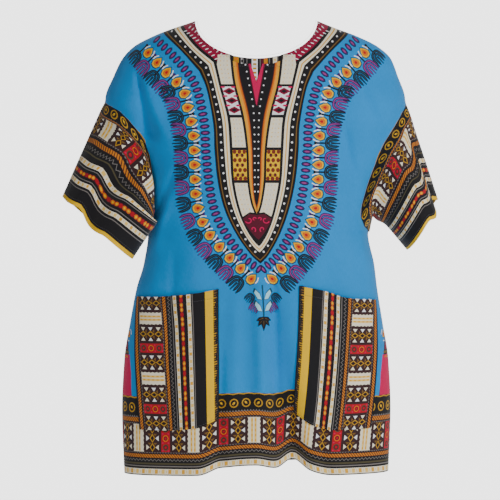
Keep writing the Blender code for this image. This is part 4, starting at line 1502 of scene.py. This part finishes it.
def sleeve_point(rows, share, around, along):
    """Smooth points on a sleeve, with `around` from under the arm and `along` from the armhole."""
    columns = rows.shape[1]
    u = (around + 0.5) * columns
    v = np.interp(along, share, np.arange(len(share)))
    total = np.zeros((len(u), 3))
    i, j = np.floor(u).astype(int), np.clip(np.floor(v).astype(int), 0, len(share) - 2)
    wu, wv = smooth_weights(u - i), smooth_weights(v - j)
    for a in range(4):
        line = np.zeros((len(u), 3))
        for b in range(4):
            line += wu[b][:, None] * rows[np.clip(j + a - 1, 0, len(share) - 1), (i + b - 1) % columns]
        total += wv[a][:, None] * line
    return total


def smooth_weights(t):
    """The shares of four neighbours in a smooth curve through the middle two."""
    return (
        0.5 * (-t + 2 * t**2 - t**3),
        0.5 * (2 - 5 * t**2 + 3 * t**3),
        0.5 * (t + 4 * t**2 - 3 * t**3),
        0.5 * (-(t**2) + t**3),
    )


def sleeve_creases(side, around, along):
    """Soft uneven creases across a sleeve, as a lift along its normal."""
    lift = np.zeros(len(around))
    for row in SLEEVE_CREASES[side]:
        at0, along0, at1, along1, half, depth = row
        t = np.clip((along - along0) / (along1 - along0), -0.3, 1.3)
        middle = at0 + (at1 - at0) * t
        ends = ease((t + 0.25) / 0.35) * ease((1.25 - t) / 0.35)
        off = (around - middle + 0.5) % 1.0 - 0.5
        lift += depth * MM * ends * np.exp(-((off / half) ** 2))
    return lift


def build_sleeve(side):
    """A sleeve of border print, open at the cuff, its seam under the arm."""
    rows, share = sleeve_rows(side)
    middle_row = rows[len(rows) // 2]
    round_length = np.linalg.norm(middle_row - np.roll(middle_row, 1, axis=0), axis=1).sum() / MM
    corners = ((0, 0), (round_length, 0), (round_length, SLEEVE_LENGTH), (0, SLEEVE_LENGTH))
    outline = dense(np.array(corners, float), step=6.0)
    art = Art()
    draw_bands(art, SLEEVE_BANDS, round_length, phase=30.0)
    cut, faces, paint = mesh_cut(outline, art, "black", settings().cell / MM)
    around, along = cut[:, 0] / round_length, cut[:, 1] / SLEEVE_LENGTH
    points = sleeve_point(rows, share, around, along)
    centre = rows.mean(axis=1)
    axis_point = np.stack([np.interp(along, share, centre[:, k]) for k in range(3)], axis=1)
    out = points - axis_point
    out /= np.linalg.norm(out, axis=1, keepdims=True)
    points = points + out * sleeve_creases(side, around, along)[:, None]
    thick = edge_thickness(cut, (straight(SLEEVE_LENGTH, 0, round_length),))
    border = cotton("border_print")
    piece = cloth(f"sleeve_{side}_cloth", points, faces, paint, cut, thick, lambda p: out, border)
    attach(piece, "root")
    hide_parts(f"sleeve_{side}")
    return rows, share


# ---------------------------------------------------------------- material


def join(tree, rows):
    """Links in a node tree, each from a node's output to another node's input."""
    for source, output, target, socket in rows:
        tree.links.new(source.outputs[output], target.inputs[socket])


def node_maker(tree):
    """A function that adds a node and sets its properties or its sockets."""

    def node(kind, **values):
        made = tree.nodes.new(kind)
        for key, value in values.items():
            if hasattr(made, key):
                setattr(made, key, value)
            else:
                made.inputs[key.replace("_", " ")].default_value = value
        return made

    return node


def cotton(name):
    """Printed plain-weave cotton: the print with uneven dye, thread bump and a soft sheen."""
    found = bpy.data.materials.get(name + "_cotton")
    if found:
        return found
    material = bpy.data.materials.new(name + "_cotton")
    material.use_nodes = True
    tree = material.node_tree
    node = node_maker(tree)
    shader = tree.nodes["Principled BSDF"]
    shader.inputs["Sheen Weight"].default_value = 0.18
    shader.inputs["Sheen Roughness"].default_value = 0.45
    shader.inputs["Specular IOR Level"].default_value = 0.28

    # The dye, uneven along the yarns and in soft clouds.
    dye = node("ShaderNodeVertexColor", layer_name="print")
    cut = node("ShaderNodeUVMap", uv_map="cut")
    place_of = node("ShaderNodeTexCoord")
    stretch = node("ShaderNodeMapping", Scale=(900.0, 160.0, 1.0))
    slubs = node("ShaderNodeTexNoise", Scale=1.0, Detail=2.0, Roughness=0.6)
    cloud = node("ShaderNodeTexNoise", Scale=14.0, Detail=3.0, Roughness=0.55)
    uneven = node("ShaderNodeMapRange", From_Min=0.3, From_Max=0.7, To_Min=0.93, To_Max=1.05)
    wash = node("ShaderNodeMapRange", From_Min=0.3, From_Max=0.7, To_Min=0.95, To_Max=1.04)
    both = node("ShaderNodeMath", operation="MULTIPLY")
    shade = node("ShaderNodeVectorMath", operation="SCALE")
    join(
        tree,
        (
            (cut, "UV", stretch, "Vector"),
            (stretch, "Vector", slubs, "Vector"),
            (place_of, "Object", cloud, "Vector"),
            (slubs, "Fac", uneven, "Value"),
            (cloud, "Fac", wash, "Value"),
            (uneven, "Result", both, 0),
            (wash, "Result", both, 1),
            (dye, "Color", shade, 0),
            (both, "Value", shade, "Scale"),
            (shade, "Vector", shader, "Base Color"),
        ),
    )

    # The weave, and soft crumples under it.
    waves_per_metre = 1.0 / settings().thread_pitch
    wave_scale = waves_per_metre / 20 * 6.283
    thread_bump = node("ShaderNodeMath", operation="MAXIMUM")
    for i, direction in enumerate("XY"):
        wave = node("ShaderNodeTexWave", bands_direction=direction, Scale=wave_scale, Distortion=0.6)
        wave.inputs["Detail"].default_value = 1.0
        join(tree, ((cut, "UV", wave, "Vector"), (wave, "Fac", thread_bump, i)))
    fine = node("ShaderNodeBump", Strength=0.22, Distance=0.00025)
    crumple = node("ShaderNodeTexNoise", Scale=70.0, Detail=3.0, Roughness=0.5)
    soft = node("ShaderNodeBump", Strength=0.30, Distance=0.0018)
    rough = node("ShaderNodeMapRange", To_Min=0.72, To_Max=0.88)
    join(
        tree,
        (
            (thread_bump, "Value", fine, "Height"),
            (place_of, "Object", crumple, "Vector"),
            (crumple, "Fac", soft, "Height"),
            (fine, "Normal", soft, "Normal"),
            (soft, "Normal", shader, "Normal"),
            (slubs, "Fac", rough, "Value"),
            (rough, "Result", shader, "Roughness"),
        ),
    )
    return material


def thread_material():
    """Dark polyester-cotton thread with a faint twist."""
    material = bpy.data.materials.new("thread")
    material.use_nodes = True
    tree = material.node_tree
    node = node_maker(tree)
    shader = tree.nodes["Principled BSDF"]
    shader.inputs["Roughness"].default_value = 0.6
    shader.inputs["Sheen Weight"].default_value = 0.2
    where = node("ShaderNodeTexCoord")
    noise = node("ShaderNodeTexNoise", Scale=900.0)
    ramp = node("ShaderNodeValToRGB")
    ramp.color_ramp.elements[0].color = (0.02, 0.02, 0.025, 1)
    ramp.color_ramp.elements[1].color = (0.09, 0.09, 0.11, 1)
    bump = node("ShaderNodeBump", Strength=0.3, Distance=0.0001)
    join(
        tree,
        (
            (where, "Object", noise, "Vector"),
            (noise, "Fac", ramp, "Fac"),
            (ramp, "Color", shader, "Base Color"),
            (noise, "Fac", bump, "Height"),
            (bump, "Normal", shader, "Normal"),
        ),
    )
    return material


# ---------------------------------------------------------------- stitches


def stitch_tree(material):
    """Geometry nodes that set one stitch after another along a path."""
    tree = bpy.data.node_groups.new("Stitches", "GeometryNodeTree")
    face = tree.interface
    face.new_socket("Geometry", in_out="INPUT", socket_type="NodeSocketGeometry")
    for name in ("Pitch", "Stitch Length", "Thread Width"):
        face.new_socket(name, in_out="INPUT", socket_type="NodeSocketFloat")
    face.new_socket("Geometry", in_out="OUTPUT", socket_type="NodeSocketGeometry")
    node = node_maker(tree)
    start = node("NodeGroupInput")
    end = node("NodeGroupOutput")
    path = node("GeometryNodeMeshToCurve")
    spread = node("GeometryNodeCurveToPoints", mode="LENGTH")
    ball = node("GeometryNodeMeshUVSphere", Segments=6, Rings=4, Radius=0.5)
    size = node("ShaderNodeCombineXYZ")
    place_on = node("GeometryNodeInstanceOnPoints")
    real = node("GeometryNodeRealizeInstances")
    smooth = node("GeometryNodeSetShadeSmooth")
    paint = node("GeometryNodeSetMaterial", Material=material)
    join(
        tree,
        (
            (start, "Geometry", path, "Mesh"),
            (path, "Curve", spread, "Curve"),
            (start, "Pitch", spread, "Length"),
            (start, "Thread Width", size, "X"),
            (start, "Thread Width", size, "Y"),
            (start, "Stitch Length", size, "Z"),
            (spread, "Points", place_on, "Points"),
            (spread, "Rotation", place_on, "Rotation"),
            (ball, "Mesh", place_on, "Instance"),
            (size, "Vector", place_on, "Scale"),
            (place_on, "Instances", real, "Geometry"),
            (real, "Geometry", smooth, "Geometry"),
            (smooth, "Geometry", paint, "Geometry"),
            (paint, "Geometry", end, "Geometry"),
        ),
    )
    return tree


def sew(name, paths, material):
    """One mesh of stitches along these paths."""
    guide = bpy.data.meshes.new(name + "_guide")
    points, edges = [], []
    for path in paths:
        first = len(points)
        points += [tuple(p) for p in path]
        edges += [(first + i, first + i + 1) for i in range(len(path) - 1)]
    guide.from_pydata(points, edges, [])
    helper = add(name + "_guide", guide)
    modifier = helper.modifiers.new("Stitches", "NODES")
    modifier.node_group = stitch_tree(material)
    sizes = bpy.context.scene.dashiki_stitches
    values = {"Pitch": sizes.pitch, "Stitch Length": sizes.length, "Thread Width": sizes.width}
    for item in modifier.node_group.interface.items_tree:
        if item.name in values:
            modifier[item.identifier] = values[item.name]
    graph = bpy.context.evaluated_depsgraph_get()
    mesh = bpy.data.meshes.new_from_object(helper.evaluated_get(graph))
    bpy.data.objects.remove(helper)
    mesh.name = name
    mesh.materials.clear()
    mesh.materials.append(material)
    piece = add(name, mesh)
    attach(piece, "root")
    return piece


def inset(points, amount):
    """An open line moved sideways by an amount."""
    return points + sides_of(points) * amount


def thread():
    """The thread's material, made once."""
    return bpy.data.materials.get("thread") or thread_material()


def neck_line():
    """The topstitching 4 mm below the front's neck edge."""
    space, gap = 0.004, 0.003
    turn = np.linspace(0.06, np.pi - 0.06, 60)
    wide, deep = NECK_HALF_WIDTH + space, FRONT_NECK_DROP + space
    points = [(wide * np.cos(a), deep * np.sin(a)) for a in turn]
    low = FRONT_NECK_DROP + FACING_DROP + space
    points = [(x, max(d, low) if abs(x) < FACING_HALF_WIDTH + gap else d) for x, d in points]
    points = [p for p in points if abs(p[0]) > NOTCH_HALF_WIDTH + gap]
    return flat(points, "front") / MM


def sew_cuff(side, rows, share):
    """The stitches along a sleeve's cuff and beside its armhole."""
    count = 120
    around = np.linspace(0.0, 1.0, count)
    lines = []
    # Each line's place along the sleeve, and the ring whose middle it is pushed away from.
    for at, row in ((0.935, -2), (0.025, 0)):
        along = np.full(count, at)
        line = sleeve_point(rows, share, around, along)
        out = line - rows[row].mean(axis=0)
        out /= np.linalg.norm(out, axis=1, keepdims=True)
        lift = sleeve_creases(side, around, along)
        lines.append(line + out * (lift + STITCH_LIFT)[:, None])
    sew(f"sleeve_{side}_stitches", lines, thread())


def sew_panel(face):
    """The stitches along a body panel's neck, hem and slits."""
    count = 120
    neck = neck_edge(face) / MM
    neck = smooth_path(inset(neck, 4.0) if face == "back" else neck_line(), 90)
    drop = HEM_DROP - HEM_STITCH
    arc = section(drop, face)[1][0] / MM
    across = np.linspace(arc[0] + 3, arc[-1] - 3, count)
    hem = np.stack([across, np.full(count, drop / MM)], axis=1)
    lines = [worn(neck, face, STITCH_LIFT), worn(hem, face, STITCH_LIFT)]
    for edge, inward in ((0, 5), (-1, -5)):
        drops = np.linspace(SLIT_TOP_DROP - 0.01, HEM_DROP - 0.014, 14)
        arcs = section(drops, face)[1][:, edge] / MM
        slit = np.stack([arcs + inward, drops / MM], axis=1)
        lines.append(worn(slit, face, STITCH_LIFT))
    sew(f"{face}_stitches", lines, thread())


def sew_pockets():
    """The stitches round both pockets, and along their turned top edges."""
    lines = []
    step = 8.0
    for side in ("left", "right"):
        ring = pocket_outline(side) / MM
        inner = ring + (ring.mean(axis=0) - ring) * (0.038, 0.024)
        # From the top's right end down, along the bottom and up again.
        path = inner[np.concatenate([np.arange(8, len(inner)), [0]])]
        closing = int(np.ceil(np.linalg.norm(path[0] - path[-1]) / step))
        edge = dense(path, step)[: 1 - closing]
        top = inset(smooth_path(inner[:9], 30), 11.0)
        for line in (edge, top):
            lines.append(worn(line, "front", pocket_lift(line, side) + STITCH_LIFT))
    sew("pocket_stitches", lines, thread())


# ---------------------------------------------------------------- stage


def add(name, data):
    """An object in the scene that carries this data."""
    made = bpy.data.objects.new(name, data)
    bpy.context.collection.objects.link(made)
    return made


def build_floor(z):
    """A pale floor that glows a little, like the room."""
    size = FLOOR_HALF_SIZE
    mesh = bpy.data.meshes.new("floor")
    corners = [(-size, -size, z), (size, -size, z), (size, size, z), (-size, size, z)]
    mesh.from_pydata(corners, [], [(0, 1, 2, 3)])
    floor = add("floor", mesh)
    pale = bpy.data.materials.new("pale_floor")
    pale.use_nodes = True
    shader = pale.node_tree.nodes["Principled BSDF"]
    shader.inputs["Base Color"].default_value = (0.9, 0.9, 0.9, 1)
    shader.inputs["Roughness"].default_value = 0.9
    shader.inputs["Emission Color"].default_value = (1.0, 1.0, 1.0, 1)
    shader.inputs["Emission Strength"].default_value = FLOOR_GLOW
    mesh.materials.append(pale)


def build_room(stage):
    """A white room. Its walls are seen bright, however little light they give the shirt."""
    world = bpy.data.worlds.new("soft_room")
    world.use_nodes = True
    tree = world.node_tree
    node = node_maker(tree)
    room = tree.nodes["Background"]
    room.inputs["Color"].default_value = (1.0, 1.0, 1.0, 1)
    room.inputs["Strength"].default_value = stage.room_light
    seen = node("ShaderNodeBackground", Strength=ROOM_SEEN)
    sight = node("ShaderNodeLightPath")
    either = node("ShaderNodeMixShader")
    join(
        tree,
        (
            (sight, "Is Camera Ray", either, "Fac"),
            (room, "Background", either, 1),
            (seen, "Background", either, 2),
            (either, "Shader", tree.nodes["World Output"], "Surface"),
        ),
    )
    bpy.context.scene.world = world


def build_lights(stage, centre):
    """The main light from the viewer's right, a fill and a light from behind."""
    lights = (
        ("key", (1.7, -2.2, 0.85), 0.8, stage.key_power),
        ("fill", (-2.2, -2.0, 0.2), 1.8, stage.fill_power),
        ("back", (0.4, 2.6, 0.9), 1.8, stage.fill_power * BACK_LIGHT_SHARE),
    )
    for name, position, width, power in lights:
        data = bpy.data.lights.new(name, "AREA")
        data.size = width
        data.energy = power
        lamp = add(name, data)
        lamp.location = position
        aim(lamp, centre)


def build_camera(stage, centre):
    """A long lens from a little above the middle of the shirt."""
    data = bpy.data.cameras.new("camera")
    data.lens = data.sensor_width * stage.distance / stage.view_width
    camera = add("camera", data)
    tilt = np.radians(CAMERA_TILT)
    camera.location = centre + Vector((0, -np.cos(tilt), np.sin(tilt))) * stage.distance
    aim(camera, centre)
    bpy.context.scene.camera = camera


def aim(item, centre):
    """Turns a light or a camera to look at a point."""
    item.rotation_euler = (centre - item.location).to_track_quat("-Z", "Y").to_euler()


# ---------------------------------------------------------------- add-on


# Each colour's label and its value in linear light.
COLOURS = {
    "ground": ("Blue ground", (0.0, 0.265, 0.670)),
    "black": ("Black", (0.008, 0.007, 0.009)),
    "dark_brown": ("Dark brown", (0.038, 0.014, 0.016)),
    "grey": ("Grey line", (0.190, 0.170, 0.160)),
    "pale_grey": ("Pale grey", (0.620, 0.600, 0.620)),
    "olive": ("Olive", (0.075, 0.062, 0.030)),
    "white": ("White", (0.930, 0.930, 0.950)),
    "cream": ("Cream", (0.930, 0.840, 0.640)),
    "light_gold": ("Light gold", (0.930, 0.600, 0.140)),
    "pale_gold": ("Pale gold", (0.800, 0.400, 0.030)),
    "gold": ("Gold", (0.520, 0.270, 0.010)),
    "ochre": ("Ochre", (0.190, 0.095, 0.018)),
    "yellow": ("Yellow", (0.880, 0.520, 0.0)),
    "orange": ("Orange", (0.760, 0.170, 0.0)),
    "light_orange": ("Light orange", (0.930, 0.330, 0.020)),
    "rope": ("Rope orange", (0.620, 0.190, 0.010)),
    "red": ("Red", (0.460, 0.004, 0.014)),
    "red_brown": ("Red brown", (0.190, 0.028, 0.014)),
    "maroon": ("Maroon", (0.100, 0.005, 0.020)),
    "crimson": ("Crimson", (0.300, 0.0, 0.036)),
    "pink": ("Hot pink", (0.620, 0.0, 0.085)),
    "pinkish": ("Dusty pink", (0.340, 0.045, 0.220)),
    "purple": ("Purple", (0.050, 0.010, 0.120)),
    "teal": ("Dark teal", (0.010, 0.060, 0.110)),
    "light_blue": ("Light blue", (0.380, 0.800, 0.930)),
}


def length_property(label, text, value):
    """A length, in metres."""
    kind = {"subtype": "DISTANCE", "unit": "LENGTH"}
    return FloatProperty(name=label, description=text, default=value, min=0.0, **kind)


def light_property(label, text, value, unit="NONE"):
    """A light's power or strength."""
    return FloatProperty(name=label, description=text, default=value, min=0.0, unit=unit)


def colour_property(label, value):
    """A colour of the print."""
    text = f"{label} of the print"
    return FloatVectorProperty(name=label, description=text, default=value, subtype="COLOR", size=3)


class ClothSettings(bpy.types.PropertyGroup):
    """Sizes of the cloth."""

    thickness: length_property("Thickness", "Thickness of one layer of cloth", 0.0009)
    hem_width: length_property("Turned Edge", "Width of the turned edges at neck, hem and cuffs", 0.012)
    cell: length_property("Mesh Step", "Distance between points away from the print's edges", 0.0055)
    thread_pitch: length_property("Thread Pitch", "Distance between threads of the weave", 0.0007)
    pocket_lift: length_property("Pocket Lift", "How far the pockets stand off the front", 0.0017)
    pocket_gape: length_property("Pocket Gape", "How far a pocket's open edge stands off the front", 0.0035)


class PrintColours(bpy.types.PropertyGroup):
    """Colours of the print."""

    __annotations__ = {key: colour_property(label, value) for key, (label, value) in COLOURS.items()}


class StitchSettings(bpy.types.PropertyGroup):
    """Sizes of the stitches."""

    pitch: length_property("Pitch", "Distance from one stitch to the next", 0.0036)
    length: length_property("Stitch Length", "Length of one stitch", 0.0030)
    width: length_property("Thread Width", "Width of the sewing thread", 0.0006)


class StageSettings(bpy.types.PropertyGroup):
    """Light and view."""

    distance: length_property("Camera Distance", "From the camera to the shirt's front", 3.6)
    view_width: length_property("View Width", "Width that the camera sees at the shirt", 0.85)
    key_power: light_property("Key Power", "Power of the main light", 60.0, "POWER")
    fill_power: light_property("Fill Power", "Power of the fill light", 6.0, "POWER")
    room_light: light_property("Room Light", "Strength of the light from all round", 0.27)


class DASHIKI_OT_panels(bpy.types.Operator):
    """Build the printed front and back panels"""

    bl_idname = "dashiki.panels"
    bl_label = "Body Panels"

    def execute(self, context):
        build_panel("front")
        build_panel("back")
        return {"FINISHED"}


class DASHIKI_OT_sleeves(bpy.types.Operator):
    """Build both sleeves with the stitches of their cuffs"""

    bl_idname = "dashiki.sleeves"
    bl_label = "Sleeves"

    def execute(self, context):
        for side in ("left", "right"):
            rows, share = build_sleeve(side)
            sew_cuff(side, rows, share)
        return {"FINISHED"}


class DASHIKI_OT_pockets(bpy.types.Operator):
    """Build the two patch pockets"""

    bl_idname = "dashiki.pockets"
    bl_label = "Pockets"

    def execute(self, context):
        build_pocket("left")
        build_pocket("right")
        return {"FINISHED"}


class DASHIKI_OT_facing(bpy.types.Operator):
    """Build the strip behind the neck slit"""

    bl_idname = "dashiki.facing"
    bl_label = "Neck Facing"

    def execute(self, context):
        build_facing()
        return {"FINISHED"}


class DASHIKI_OT_stitches(bpy.types.Operator):
    """Sew the neck, hem, slits and pocket edges"""

    bl_idname = "dashiki.stitches"
    bl_label = "Stitches"

    def execute(self, context):
        sew_panel("front")
        sew_panel("back")
        sew_pockets()
        return {"FINISHED"}


class DASHIKI_OT_stage(bpy.types.Operator):
    """Set the floor, the lights and the camera"""

    bl_idname = "dashiki.stage"
    bl_label = "Stage"

    def execute(self, context):
        stage = context.scene.dashiki_stage
        low = CAD_BOX[0]
        centre = Vector((LOOK_AT[0], low[1] * FRONT_SHARE, LOOK_AT[1]))
        build_floor(low[2] - FLOOR_BELOW)
        build_room(stage)
        build_lights(stage, centre)
        build_camera(stage, centre)
        return {"FINISHED"}


class DASHIKI_PT_panel(bpy.types.Panel):
    """Lists the shirt's pieces and settings"""

    bl_label = "Dashiki Shirt"
    bl_idname = "DASHIKI_PT_panel"
    bl_space_type = "VIEW_3D"
    bl_region_type = "UI"
    bl_category = "Dashiki"

    def draw(self, context):
        for operator in OPERATORS:
            self.layout.operator(operator.bl_idname)
        for name in SETTINGS:
            group = getattr(context.scene, name)
            for key in group.__class__.__annotations__:
                self.layout.prop(group, key)


SETTINGS = {
    "dashiki_cloth": ClothSettings,
    "dashiki_colours": PrintColours,
    "dashiki_stitches": StitchSettings,
    "dashiki_stage": StageSettings,
}
OPERATORS = (
    DASHIKI_OT_panels,
    DASHIKI_OT_sleeves,
    DASHIKI_OT_pockets,
    DASHIKI_OT_facing,
    DASHIKI_OT_stitches,
    DASHIKI_OT_stage,
)


def register():
    for made in (*SETTINGS.values(), *OPERATORS, DASHIKI_PT_panel):
        bpy.utils.register_class(made)
    for name, group in SETTINGS.items():
        setattr(bpy.types.Scene, name, PointerProperty(type=group))


def unregister():
    for name in SETTINGS:
        delattr(bpy.types.Scene, name)
    for made in (DASHIKI_PT_panel, *OPERATORS, *SETTINGS.values()):
        bpy.utils.unregister_class(made)


def main():
    register()
    bpy.ops.dashiki.panels()
    bpy.ops.dashiki.sleeves()
    bpy.ops.dashiki.pockets()
    bpy.ops.dashiki.facing()
    bpy.ops.dashiki.stitches()
    bpy.ops.dashiki.stage()


if __name__ == "__main__":
    main()
